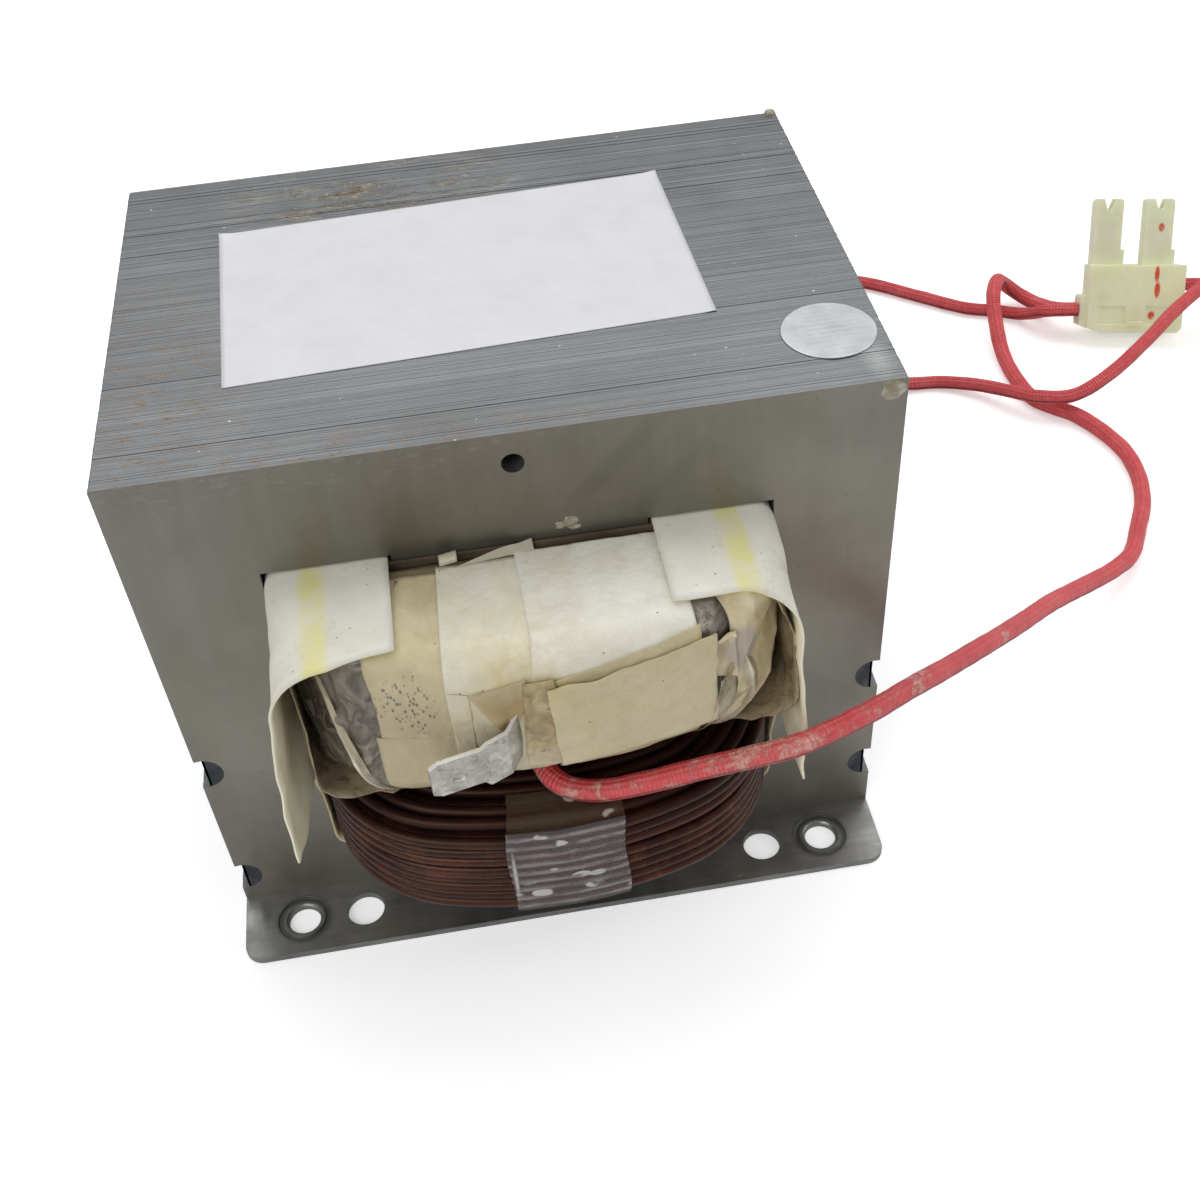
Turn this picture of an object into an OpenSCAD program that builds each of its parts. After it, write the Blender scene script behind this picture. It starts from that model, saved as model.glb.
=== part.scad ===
// High-voltage transformer of the kind used in a kitchen oven, millimetres.
// The core stands on its base plate, the front of the coils faces -Y and
// the underside of the plate lies on z = 0 with its middle at the origin.

/* [Core] */
// Width of the laminated core along X
core_w = 105; // [102:0.5:108]
// Depth of the stack of laminations along Y
core_d = 75; // [60:1:80]
// Pitch of the grooves that show the edges of the leaves
leaf_pitch = 2.5; // [2:0.5:5]
// Depth of the grooves between the leaves
leaf_groove = 0.2; // [0.1:0.05:0.3]
// Height of the lower stack on its left half
seam_left = 15.3; // [14.8:0.1:15.4]
// Height of the lower stack on its right half
seam_right = 13; // [12.5:0.1:14]
// Diameter of the hole through the upper yoke
yoke_hole_d = 3.1; // [2:0.1:5]
// Radius of the half-round notches that take the welds
notch_r = 3; // [2.5:0.1:3.2]

/* [Base plate] */
// Thickness of the base plate
plate_t = 1.2; // [1:0.1:1.5]
// Front to back size of the base plate
plate_d = 100; // [98:1:110]
// Corner radius of the base plate
plate_r = 3; // [2:0.5:5]
// Distance between the outer holes along X
outer_pitch = 86; // [84:0.5:90]
// Distance between the inner holes along X
inner_pitch = 66; // [64:0.5:70]
// Distance between the two rows of holes along Y
row_pitch = 87; // [86:0.5:90]
// Diameter of the outer holes
outer_hole_d = 5.1; // [4.5:0.1:5.5]
// Diameter of the inner holes
inner_hole_d = 6; // [5:0.1:6.5]

/* [Primary] */
// Diameter of the enamelled wire
wire_d = 1.95; // [1.8:0.05:1.95]
// Number of wire rows seen on the outer layer
wire_rows = 8; // [6:1:8]
// Extra gap between the fourth and the fifth row
row_gap = 0.5; // [0.1:0.1:0.6]

/* [Secondary] */
// Height of the magnetic shunts under the secondary
shunt_h = 5; // [4:0.5:6]
// Thickness of the paper wrapped round the front bundle
wrap_t = 0.5; // [0.3:0.1:0.5]
// Thickness of the clear film round the corners
film_t = 0.3; // [0.2:0.05:0.3]

/* [Papers] */
// Thickness of the papers that line the windows
liner_t = 0.45; // [0.3:0.05:0.45]
// Reach of the white papers in front of the core
flap_reach = 19.5; // [15:0.5:20]

/* [Leads] */
// Diameter of the high-voltage lead
hv_d = 3.3; // [3:0.1:3.3]
// Diameter of the two filament leads
filament_d = 2.9; // [2.5:0.1:2.9]

/* [Terminal tabs] */
// Width of a tab blade
tab_w = 6.35; // [6.3:0.05:6.4]
// Thickness of the tab metal
tab_t = 0.8; // [0.7:0.1:0.8]

/* [Connector] */
// Width of the connector body
conn_w = 21; // [20.6:0.2:21.6]
// Depth of the connector body
conn_d = 8; // [7.8:0.1:8.4]
// Height of the connector body without the towers
conn_h = 15; // [14.5:0.5:15.5]
// Full height of the connector with the towers
conn_top = 29.4; // [28:0.2:31]
// Width of a tower
tower_w = 6.1; // [5.8:0.1:6.2]

/* [Labels] */
// Width of the paper label
label_w = 67.7; // [50:0.1:70]
// Depth of the paper label
label_d = 40; // [30:0.5:42]
// Diameter of the round sticker
sticker_d = 13.2; // [10:0.1:13.6]

/* [Hidden] */
// true round shapes
$fn = 48;
// clearance that keeps two pieces of one assembly apart
gap = 0.1;
// one sixth of the core width: yoke, side leg and window
module_w = core_w / 6;
core_h = core_w * 5 / 6;
core_z = plate_t;
top_z = core_z + core_h;
leg_x = module_w;
window_x = 2 * module_w;
window_z = top_z - module_w;
core_y = core_d / 2;
// the upright lip at the right end of the seam
lip_w = 2.5;
lip_h = 1.3;
// middle of the yoke hole
hole_x = 0.3;
hole_z = 4.9;
// notch middles: inset from the side and height above the plate
notch_in = 0.8;
notch_up_left = 32;
notch_up_right = 31.3;
notch_low_left = 5.8;
notch_low_right = 10.2;
// how far a weld sits below the side of the core
weld_sink = 1;
// paper tubes round the centre leg
leg_paper_t = 0.5;
leg_paper_gap = 0.2;
coil_in = leg_x + leg_paper_gap + leg_paper_t + 0.3;
// direction of the joints between the arcs of a coil, a 7, 24, 25 triangle
joint = [7, 24];
joint_len = norm(joint);
// primary winding: its z, half width, and the middle of a corner arc
primary_z = core_z + seam_left + 1.2;
primary_out = window_x - 0.8;
wire_layers = floor((primary_out - coil_in) / wire_d);
primary_build = wire_d * wire_layers;
primary_corner = 6.42;
primary_cx = primary_out - primary_build - primary_corner;
primary_cy = core_y - 0.98;
primary_top = primary_z + wire_d * (wire_rows + 1) + row_gap + 0.3;
// how far the top turn of each layer sits below the top
layer_drop = [0.2, 0.9, 0, 0.6, 1.3, 0.1, 0.7, 0];
// magnetic shunts and the winding of three turns above them
shunt_z = primary_top + 0.85;
shunt_in = leg_x + leg_paper_t + 0.4;
shunt_out = window_x - 0.8;
turns = 3;
filament_z = shunt_z + shunt_h + 0.35;
filament_cx = coil_in - 3.1;
filament_cy = core_y;
// secondary winding
secondary_z = filament_z + filament_d + 1.25;
secondary_h = window_z - 1.8 - secondary_z;
secondary_out = window_x - 1.5;
secondary_build = secondary_out - coil_in - 0.1;
secondary_cx = coil_in - 3.1;
secondary_cy = core_y + 1.14;
secondary_round = 4.5;
// where the ends of the secondary come nearest to the core
secondary_back = core_y + 1.6;
// half widths, far out, of the wedges that bound the paper and the fill
far = 120;
wrap_half = 34.5;
fill_half = 34;
cut_half = 36;
// outer corner radius, and radius and middle of the front arc
secondary_r = secondary_out - secondary_cx;
front_r = secondary_r + secondary_cx * joint_len / joint[0];
front_y = secondary_cy - secondary_cx * joint[1] / joint[0];
// the same for the primary
primary_front_r = primary_out - primary_cx + primary_cx * joint_len / joint[0];
primary_front_y = primary_cy - primary_cx * joint[1] / joint[0];
front_at = -front_y - front_r;
// the stained pad and the paper patch on the front of the wrap
patch_t = 0.6;
pad_t = 0.9;
patch_z = secondary_z + 3.4;
patch_h = secondary_h - 8;
pad_h = patch_h - 1.5;
// window papers
liner_out = window_x - 0.1;
liner_round = 2.5;
white_z = primary_top + 1.15;
white_top = window_z - 0.4;
white_in = leg_x + 0.5;
// how far the front edges of the left and right white papers lean back
white_lean = [2, 3.3];
brown_t = 0.4;
brown_z = secondary_z - wrap_t - 0.6;
brown_out = liner_out - liner_t - gap;
brown_in = coil_in + 0.3;
brown_h = secondary_h - 2;
brown_reach = flap_reach - 2.5;
primary_liner_z = core_z + seam_left + 0.3;
primary_liner_top = white_z - 0.4;
primary_liner_round = 1.5;
primary_liner_reach = 7.5;
// front tab: plan points of its outer face, from the tip inwards
tab_plan = [
    [-16.3, front_at - 4.46], [-5.6, front_at - 2.06], [-1.6, front_at + 2.04]
];
tab_z = secondary_z + 4.2;
tab_rise = [0.9, 5.4];
tab_cut = 1.2;
dimple_d = 1.8;
dimple_at = [-12.6, front_at - 3.28, tab_z + tab_w / 2 - 0.4];
dimple_turn = 12;
shoulder_w = 8;
shoulder_at = -9.4;
slot_gap = 0.1;
// tabs of the primary at the rear
rear_tab_x = 12;
rear_tab_z = primary_z + 6.3;
rear_tab_h = 8.5;
rear_tab_reach = 8;
// clear tape on the primary
tape_t = 0.2;
tape_z = primary_z + 0.9;
tape_from = -7.2;
tape_sweep = 15;
tape_over = 7;
// label and sticker on the top of the core
paper_t = 0.12;
label_x = -3.2;
label_y = 1.8;
label_turn = 2.1;
sticker_x = core_w / 2 - 7.4;
sticker_y = 12.6 - core_y;
// connector: place of its lower front edge, lean and turn
conn_at = [147.1, 77.3, 4];
conn_lean = -30;
conn_turn = -13.9;
tower_x = [-10.1, 1];
tower_d = 5;
tower_y = 1.5;
tower_round = 0.8;
ledge_w = 0.8;
ledge_h = 3.4;
socket_w = 4.4;
socket_d = 2.4;
socket_deep = 12;
contact_h = 10;
// sides of a lead's tube
lead_sides = 8;

// high-voltage lead, from between the coils to the connector
hv_route = [
    [14, -42.7, 39.2], [5.3, -42.8, 39.2], [0.6, -44.8, 39.1], [-1.4, -49.5, 38.9],
    [0.6, -54.2, 38.6], [5.5, -56.6, 38.6], [12.7, -57.8, 40.2], [20.4, -58.5, 42.2],
    [27.8, -59.3, 44], [34.1, -59.4, 45.2], [40.7, -56.8, 44.5], [47.4, -52.2, 41.8],
    [54.4, -46.6, 38.5], [61.6, -40.6, 34.4], [68.9, -34.2, 30.1], [76.4, -27.6, 25.7],
    [83.9, -20.4, 20.7], [91.8, -13.1, 16.1], [98.8, -7.4, 12.2], [105.5, -2, 8.4],
    [112, 3, 5.4], [118.3, 8.6, 3.2], [123.5, 17, 2], [127.6, 24.5, 1.7],
    [130, 33, 1.7], [130, 42, 1.7], [125.5, 53.5, 1.7], [118.5, 61.5, 1.7],
    [117, 70.5, 1.7], [117.3, 80, 2.2], [118.2, 88, 5], [119.2, 93.5, 8],
    [121.5, 98, 8.6], [124.5, 100.8, 5.8], [128, 100.2, 3], [130.6, 96.8, 2.4],
    [131.4, 92.3, 4], [133.2, 88.3, 5.4], [137, 87.4, 5.4]
];
// filament lead along the table to the left of the connector
lead_a_route = [
    [6, 53.1, 43.7], [12, 55, 43.6], [18, 59.5, 43], [24, 64, 41.8],
    [33, 68.5, 39], [44, 74.5, 34], [56, 85, 24.5], [67, 98.5, 14],
    [78, 111, 5.5], [88, 117.5, 1.6], [95.4, 115.1, 1.5], [105.7, 106.8, 1.5],
    [115.1, 99.2, 1.5], [122, 96.3, 1.5], [126, 93.6, 1.9], [128, 90.2, 3.9],
    [129.4, 87.2, 6.2], [132.4, 85.5, 7.1], [136.3, 84.6, 7.1]
];
// filament lead that crosses over and loops to the right of the connector
lead_b_route = [
    [22.1, 49.1, 43.7], [25, 54, 43.3], [29, 58.3, 42.6], [35, 61.5, 41],
    [44, 63.5, 36.5], [54, 65, 30.5], [65, 67.2, 22], [74.5, 70, 13.5],
    [83, 72.4, 6.5], [88.5, 73.4, 2.9], [93.8, 73.3, 1.6],
    [100.7, 72.4, 1.5], [107.7, 68.3, 2.5], [112.7, 62.8, 4],
    [117.2, 57.9, 5.3], [124.5, 55.8, 6], [132.6, 57.1, 9.5],
    [143.5, 63.8, 12.5], [150.2, 68.9, 14], [156, 72.8, 15],
    [162, 77, 15.6], [168, 82.5, 15.6], [173.5, 89.5, 15],
    [181, 91.5, 13.6], [187, 86, 12.4], [187.5, 79, 11.6],
    [182, 75, 11.2], [175, 76.5, 11.1], [168.5, 80.6, 11.2],
    [163.3, 82.3, 11.2], [159.45, 83.3, 11.2]
];

// Flat sheet metal plate with rounded corners, eight holes, and a stamped
// ring round each of the four outer holes.
module plate_outline() {
    x = core_w / 2 - plate_r;
    y = plate_d / 2 - plate_r;
    square([core_w, plate_d - 2 * plate_r], center = true);
    square([core_w - 2 * plate_r, plate_d], center = true);
    for (sx = [-x, x], sy = [-y, y])
        translate([sx, sy]) circle(r = plate_r);
}

module base_plate() {
    ring_in = 3.5;
    ring_out = 4.2;
    ring_deep = 0.3;
    chamfer = 0.35;
    color([0.36, 0.36, 0.35]) difference() {
        linear_extrude(plate_t) plate_outline();
        for (sx = [-1, 1], sy = [-1, 1]) {
            translate([sx * inner_pitch / 2, sy * row_pitch / 2, -1])
                cylinder(d = inner_hole_d, h = plate_t + 2);
            translate([sx * outer_pitch / 2, sy * row_pitch / 2, -1])
                cylinder(d = outer_hole_d, h = plate_t + 2);
            translate([sx * outer_pitch / 2, sy * row_pitch / 2, plate_t - chamfer])
                cylinder(d1 = outer_hole_d, d2 = outer_hole_d + 4 * chamfer, h = 2 * chamfer);
            translate([sx * outer_pitch / 2, sy * row_pitch / 2, plate_t - ring_deep])
                difference() {
                    cylinder(r = ring_out, h = 1);
                    translate([0, 0, -1]) cylinder(r = ring_in, h = 3);
                }
        }
    }
}

// Side view of the lower stack, with the seam at two heights.
module i_outline() {
    x = core_w / 2;
    polygon([
        [-x, 0], [x, 0], [x, seam_right + lip_h], [x - lip_w, seam_right + lip_h],
        [x - lip_w, seam_right], [0, seam_right], [0, seam_left], [-x, seam_left]
    ]);
}

// The four half-round notches in the sides of the core.
module notch_outline(up, side) {
    translate([side * (core_w / 2 - notch_in), up]) circle(r = notch_r);
}

module notches() {
    notch_outline(notch_up_left, -1);
    notch_outline(notch_up_right, 1);
    notch_outline(notch_low_left, -1);
    notch_outline(notch_low_right, 1);
}

// Stands a side view up and runs it through the depth of the core.
module through_core() {
    translate([0, core_y, core_z]) rotate([90, 0, 0]) linear_extrude(core_d) children();
}

// Grooves across the outer faces between the packs of leaves.
module leaf_grooves() {
    count = floor(core_d / leaf_pitch);
    w = leaf_pitch * 0.3;
    for (i = [1 : count - 1])
        translate([-core_w / 2 - 1, -core_y + i * leaf_pitch - w / 2, core_z - 1])
            difference() {
                cube([core_w + 2, w, core_h + 2]);
                translate([1 + leaf_groove, -1, -1])
                    cube([core_w - 2 * leaf_groove, w + 2, core_h + 2 - leaf_groove]);
            }
}

// Stack of steel strips under the coils.
module i_laminations() {
    color([0.40, 0.40, 0.39]) difference() {
        through_core() difference() {
            i_outline();
            notches();
        }
        leaf_grooves();
    }
}

// Stack of steel leaves with three legs joined by the upper yoke.
module e_laminations() {
    window_h = window_z - core_z;
    color([0.44, 0.44, 0.43]) difference() {
        through_core() difference() {
            translate([-core_w / 2, 0]) square([core_w, core_h]);
            i_outline();
            notches();
            for (x = [-window_x, leg_x]) translate([x, 0]) square([module_w, window_h]);
            translate([hole_x, core_h - hole_z]) circle(d = yoke_hole_d);
        }
        leaf_grooves();
    }
}

// Weld bead that fills one notch along the whole stack.
module weld(up, side) {
    size = 2 * notch_r;
    color([0.20, 0.23, 0.28]) through_core() intersection() {
        notch_outline(up, side);
        translate([side * (core_w / 2 - weld_sink - size / 2), up])
            square([size, size], center = true);
    }
}

// Ring that goes round the centre leg: straight sides, four corner arcs and
// a gently bulged arc at each end. The child is the cross-section. The arcs
// meet on a line through exact points, so that their faces join.
module race(cx, cy, r_in) {
    k = cx / joint[0];
    rim = 5 * joint;
    for (m = [0, 1]) mirror([m, 0, 0])
        translate([cx, cy, 0]) rotate([90, 0, 0])
            linear_extrude(2 * cy) translate([r_in, 0]) children();
    for (m = [0, 1], n = [0, 1]) mirror([m, 0, 0]) mirror([0, n, 0])
        translate([cx, cy, 0]) intersection() {
            rotate_extrude(angle = 90) translate([r_in, 0]) children();
            linear_extrude(top_z)
                polygon([[0, 0], [0, -1], [rim[1], -1], [rim[1], rim[1]], rim]);
        }
    for (n = [0, 1]) mirror([0, n, 0])
        translate([0, cy - k * joint[1], 0]) intersection() {
            rotate_extrude(angle = 180) translate([r_in + k * joint_len, 0]) children();
            linear_extrude(top_z) polygon([[0, 0], rim, [-rim[0], rim[1]]]);
        }
}

// Paper tube round the centre leg, from one height to another.
module leg_paper(from, to) {
    x = leg_x + leg_paper_gap;
    y = core_y + leg_paper_gap;
    t = leg_paper_t;
    color([0.72, 0.62, 0.42]) translate([0, 0, from]) linear_extrude(to - from) difference() {
        square([2 * (x + t), 2 * (y + t)], center = true);
        square([2 * x, 2 * y], center = true);
    }
}

// Cross-section of the primary: solid inside, round turns on the outer layer
// and on top of each layer.
module primary_section() {
    r = wire_d / 2;
    pitch = wire_d + 0.04;
    inner = primary_z + wire_d;
    for (i = [0 : wire_rows - 1])
        translate([primary_build - r, primary_z + r + i * pitch + (i > 3 ? row_gap : 0)])
            circle(d = wire_d, $fn = 24);
    for (j = [0 : wire_layers - 2]) {
        top = primary_top - r - layer_drop[j % len(layer_drop)];
        translate([r + j * wire_d, top]) circle(d = wire_d, $fn = 24);
        translate([j * wire_d + 0.05, inner]) square([wire_d - 0.1, top - inner]);
    }
    translate([0, primary_z + 0.3])
        square([primary_build - r, wire_rows * pitch - r + row_gap]);
}

module primary_winding() {
    color([0.30, 0.11, 0.08])
        race(primary_cx, primary_cy, primary_out - primary_cx - primary_build)
            primary_section();
}

// Laminated steel blocks between the two coils, one in each window.
module shunt(side) {
    color([0.42, 0.42, 0.42])
        translate([side > 0 ? shunt_in : -shunt_out, 0.5 - core_y, shunt_z])
            cube([shunt_out - shunt_in, core_d - 1, shunt_h]);
}

// Three turns of the insulated lead wire, side by side in one layer.
module filament_winding() {
    r = filament_d / 2;
    color([0.70, 0.13, 0.15])
        race(filament_cx, filament_cy, coil_in - filament_cx)
            union() {
                for (i = [0 : turns - 1]) translate([r + i * filament_d, filament_z + r])
                    circle(d = filament_d, $fn = 24);
                translate([r, filament_z + 0.4])
                    square([(turns - 1) * filament_d, filament_d - 0.8]);
            }
}

// Rounded cross-section of the secondary, grown all round by t.
module bundle(t) {
    w = secondary_build;
    h = secondary_h;
    r = secondary_round;
    inner = 0.8;
    translate([r, -t]) square([w - 2 * r, h + 2 * t]);
    translate([inner, -t]) square([w / 2, h + 2 * t]);
    translate([-t, inner]) square([w / 2, h - 2 * inner]);
    translate([w / 2, r]) square([w / 2 + t, h - 2 * r]);
    for (z = [r, h - r]) translate([w - r, z]) circle(r = r + t);
    for (z = [inner, h - inner]) translate([inner, z]) circle(r = inner + t, $fn = 24);
}

// Thin closed loop round the bundle.
module bundle_loop(t) {
    translate([0, secondary_z]) difference() {
        bundle(t);
        bundle(0);
    }
}

// Slot that the bent end of the front tab enters.
module tab_slot() {
    translate([0, 0, tab_z - 1 - slot_gap])
        linear_extrude(shoulder_w + tab_rise[1] + 2 * slot_gap) tab_strip(slot_gap, 0.3);
}

// Plan of what fills the front end of the coil, from the arc back to the
// line y = -back, within a wedge from the middle of the arc.
module end_plan(back, half) {
    intersection() {
        translate([0, -front_y]) circle(r = front_r - secondary_build / 2);
        translate([-far, -far]) square([2 * far, far - back]);
        wedge(half);
    }
}

module wedge(half) {
    translate([0, -front_y]) polygon([[0, 0], [half, -far], [-half, -far]]);
}

// The fill itself, grown by t towards the core, up and down.
module end_fill(t, half) {
    translate([0, 0, secondary_z - t]) linear_extrude(secondary_h + 2 * t)
        end_plan(secondary_back - t, half);
}

module secondary_winding() {
    color([0.34, 0.22, 0.16]) difference() {
        union() {
            race(secondary_cx, secondary_cy, secondary_r - secondary_build)
                translate([0, secondary_z]) bundle(0);
            for (n = [0, 1]) mirror([0, n, 0]) end_fill(0, fill_half);
        }
        tab_slot();
    }
}

// Sweeps a section along the front arc of the secondary. The section's zero
// is the outer face of the winding.
module along_front(from, sweep) {
    translate([0, -front_y, 0]) rotate([0, 0, -90 + from])
        rotate_extrude(angle = sweep) translate([front_r, 0]) children();
}

// Paper tape wound round one end of the bundle.
module end_wrap() {
    difference() {
        intersection() {
            linear_extrude(top_z) wedge(wrap_half);
            union() {
                along_front(-18, 36) translate([-secondary_build, secondary_z]) bundle(wrap_t);
                end_fill(wrap_t, cut_half);
            }
        }
        along_front(-20, 40) translate([-secondary_build, secondary_z]) bundle(0);
        end_fill(0, cut_half);
    }
}

module secondary_wrap() {
    color([0.84, 0.80, 0.68]) difference() {
        end_wrap();
        tab_slot();
    }
}

module rear_wrap() {
    color([0.84, 0.80, 0.68]) mirror([0, 1, 0]) end_wrap();
}

// Clear film round the corner of the bundle beside the tape.
module film(side) {
    start = 5;
    end = 70;
    color([0.62, 0.56, 0.50]) mirror([side < 0 ? 1 : 0, 0, 0]) mirror([0, 1, 0])
        translate([secondary_cx, secondary_cy, 0]) rotate([0, 0, start])
            rotate_extrude(angle = end - start)
                translate([secondary_r - secondary_build, 0]) bundle_loop(film_t);
}

// Resin stained pad beside the front tab.
module stained_pad() {
    color([0.70, 0.58, 0.36]) along_front(-3, 3.6)
        translate([wrap_t + 0.05, patch_z]) square([pad_t, pad_h]);
}

// Card patch on the right half of the front tape.
module paper_patch() {
    color([0.86, 0.80, 0.62]) along_front(0.8, 17.4)
        translate([wrap_t + 0.05, patch_z]) square([patch_t, patch_h]);
}

// Plan of the bent tab strip: tab_t thick, grown by g, and e longer inwards.
module tab_strip(g, e) {
    a = tab_plan[0];
    b = tab_plan[1];
    c = tab_plan[2];
    u = (b - a) / norm(b - a);
    v = (c - b) / norm(c - b);
    n = [-u[1], u[0]];
    m = [-v[1], v[0]];
    t = tab_t;
    inner = b + n * t - u * t * tan((atan2(v[1], v[0]) - atan2(u[1], u[0])) / 2);
    polygon([
        a - n * g, b - n * g + u * g, c - m * g + v * e,
        c + m * (t + g) + v * e, inner + n * g - u * g, a + n * (t + g)
    ]);
}

// Tinned blade terminal: shoulder, blade with cut corners, and a bent end
// that rises as it enters the wrap.
module front_tab() {
    cut = tab_cut;
    low = tab_z;
    bend = tab_plan[1][0];
    root = tab_plan[2][0] + tab_t;
    high = low + tab_w + 0.65;
    color([0.78, 0.77, 0.73]) difference() {
        intersection() {
            translate([0, 0, tab_z - 1]) linear_extrude(shoulder_w + tab_rise[1])
                tab_strip(0, 0);
            rotate([90, 0, 0]) linear_extrude(far) polygon([
                [tab_plan[0][0] - 1, low + cut], [tab_plan[0][0] + cut, low],
                [shoulder_at, low], [shoulder_at + 0.8, low - 1],
                [bend, low - 1 + tab_rise[0]], [root, low - 1 + tab_rise[1]],
                [root, high + tab_rise[1]], [bend, high + tab_rise[0]],
                [shoulder_at + 0.8, high],
                [shoulder_at, low + tab_w], [tab_plan[0][0] + cut, low + tab_w],
                [tab_plan[0][0] - 1, low + tab_w - cut]
            ]);
        }
        translate(dimple_at) rotate([90, 0, dimple_turn])
            cylinder(d = dimple_d, h = 2, $fn = 24);
    }
}

// Two tabs of the primary at the rear: a foot on the coil and a blade that
// stands out from it.
module primary_tabs() {
    r = primary_front_r;
    turn = asin(rear_tab_x / r);
    color([0.78, 0.77, 0.73]) for (s = [-1, 1])
        translate([0, primary_front_y, rear_tab_z]) rotate([0, 0, -s * turn])
        translate([0, r + gap, 0]) {
            translate([-tab_w / 2, 0, 0]) cube([tab_w, tab_t, rear_tab_h]);
            translate([-tab_w / 2, 0, rear_tab_h - tab_t]) cube([tab_w, rear_tab_reach, tab_t]);
        }
}

// Clear tape laid over the front turns of the primary.
module primary_tape() {
    r = primary_front_r;
    top = primary_top + 0.05;
    color([0.60, 0.52, 0.46]) translate([0, -primary_front_y, 0])
        rotate([0, 0, -90 + tape_from])
        rotate_extrude(angle = tape_sweep) union() {
            translate([r + 0.05, tape_z]) square([tape_t, top - tape_z + tape_t]);
            translate([r + 0.05 - tape_over, top]) square([tape_over + tape_t, tape_t]);
        }
}

// Folded sheet: a level part of width w that turns down or up into the side
// at x = 0. The fold is round.
module fold(w, h, t, r) {
    translate([-w, -t]) square([w - r, t]);
    translate([-t, -h]) square([t, h - r]);
    translate([-r, -r]) intersection() {
        difference() {
            circle(r = r);
            circle(r = r - t);
        }
        square([r, r]);
    }
}

// Runs a side view along the depth, reach past the core at both ends.
module along_depth(reach) {
    translate([0, core_y + reach, 0]) rotate([90, 0, 0])
        linear_extrude(core_d + 2 * reach) children();
}

// White paper with a yellow line, over the secondary and down its side. Its
// front edge leans back towards the top.
module white_paper(side) {
    h = white_top - white_z;
    lean = white_lean[side < 0 ? 0 : 1];
    color([0.90, 0.88, 0.80]) mirror([side < 0 ? 1 : 0, 0, 0]) difference() {
        along_depth(flap_reach) translate([liner_out, white_top])
            fold(liner_out - white_in, h, liner_t, liner_round);
        translate([0, -core_y - flap_reach, white_z]) rotate([90, 0, 90])
            linear_extrude(far) polygon([[0, 0], [lean, h], [lean, h + 1], [-1, h + 1], [-1, 0]]);
    }
}

// Brown paper under the secondary and up its side.
module brown_paper(side) {
    color([0.60, 0.48, 0.30]) mirror([side < 0 ? 1 : 0, 0, 0]) along_depth(brown_reach)
        translate([brown_out, brown_z]) mirror([0, 1])
            fold(brown_out - brown_in, brown_h, brown_t, liner_round);
}

// Paper under the primary and up its side.
module primary_liner(side) {
    color([0.82, 0.78, 0.64]) mirror([side < 0 ? 1 : 0, 0, 0])
        along_depth(primary_liner_reach)
            translate([liner_out, primary_liner_z]) mirror([0, 1])
                fold(liner_out - coil_in, primary_liner_top - primary_liner_z,
                    liner_t, primary_liner_round);
}

function unit(v) = v / norm(v);
function heading(p, i) = unit(p[min(i + 1, len(p) - 1)] - p[max(i - 1, 0)]);
function lead_ring(c, t, r) =
    let (u = unit(cross(t, [0, 0, 1])), w = cross(u, t))
    [for (k = [0 : lead_sides - 1]) let (a = 360 * k / lead_sides)
        c + r * (cos(a) * u + sin(a) * w)];

// Tube that follows the points of a route.
module lead(route, d) {
    n = len(route);
    s = lead_sides;
    rings = [for (i = [0 : n - 1]) each lead_ring(route[i], heading(route, i), d / 2)];
    sides = [for (i = [0 : n - 2], k = [0 : s - 1])
        let (a = i * s + k, b = i * s + (k + 1) % s)
        each [[a, a + s, b + s], [a, b + s, b]]];
    ends = [[for (k = [0 : s - 1]) k], [for (k = [0 : s - 1]) n * s - 1 - k]];
    color([0.76, 0.17, 0.19]) polyhedron(rings, concat(ends, sides), convexity = 10);
}

// Places what is drawn upright in the connector's own axes.
module at_connector() {
    translate(conn_at) rotate([0, 0, conn_turn]) rotate([conn_lean, 0, 0]) children();
}

// Front view of one tower with rounded tip and a notch for the tab.
module tower_outline() {
    r = tower_round;
    low = conn_h - 1;
    mid = tower_w / 2;
    difference() {
        union() {
            translate([0, low]) square([tower_w, conn_top - low - r]);
            translate([r, low]) square([tower_w - 2 * r, conn_top - low]);
            for (x = [r, tower_w - r]) translate([x, conn_top - r]) circle(r = r, $fn = 24);
        }
        translate([mid, conn_top - 1.6]) circle(d = 1.4, $fn = 24);
        polygon([
            [mid - 0.7, conn_top - 1.6], [mid + 0.7, conn_top - 1.6],
            [mid + 1.3, conn_top + 0.1], [mid - 1.3, conn_top + 0.1]
        ]);
    }
    translate([tower_w - 0.5, low]) square([ledge_w + 0.5, ledge_h + 1]);
}

// Nylon housing with two towers, a lid on the front and a lead entry on
// each side.
module connector_housing() {
    x = conn_w / 2;
    step = 1.7;
    lid_z = 1.9;
    lid_h = 4;
    color([0.84, 0.86, 0.72]) at_connector() difference() {
        union() {
            translate([0, conn_d, 0]) rotate([90, 0, 0]) linear_extrude(conn_d) polygon([
                [-x + 3.4, 0], [x - 1, 0], [x, 1], [x, conn_h], [-x, conn_h], [-x, 1]
            ]);
            translate([0, conn_d - 0.6, 0]) rotate([90, 0, 0]) linear_extrude(conn_d - 1.2)
                polygon([
                    [-x + 1, 1], [-x + 1, 8.3], [-x - step + 0.4, 8.3],
                    [-x - step, 7.9], [-x - step, 1.9], [-x - step + 0.4, 1.5]
                ]);
            for (t = tower_x) translate([t, tower_y + tower_d, 0])
                rotate([90, 0, 0]) linear_extrude(tower_d) tower_outline();
            translate([-1.6, -0.25, lid_z - 0.4]) cube([3.2, 1, 1]);
        }
        for (t = tower_x)
            translate([t + (tower_w - socket_w) / 2, tower_y + (tower_d - socket_d) / 2,
                conn_top - socket_deep]) cube([socket_w, socket_d, socket_deep + 1]);
        for (s = [-1, 1]) translate([s * 5.2 - 3, -1, lid_z]) cube([6, 1.3, lid_h]);
    }
}

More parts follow.
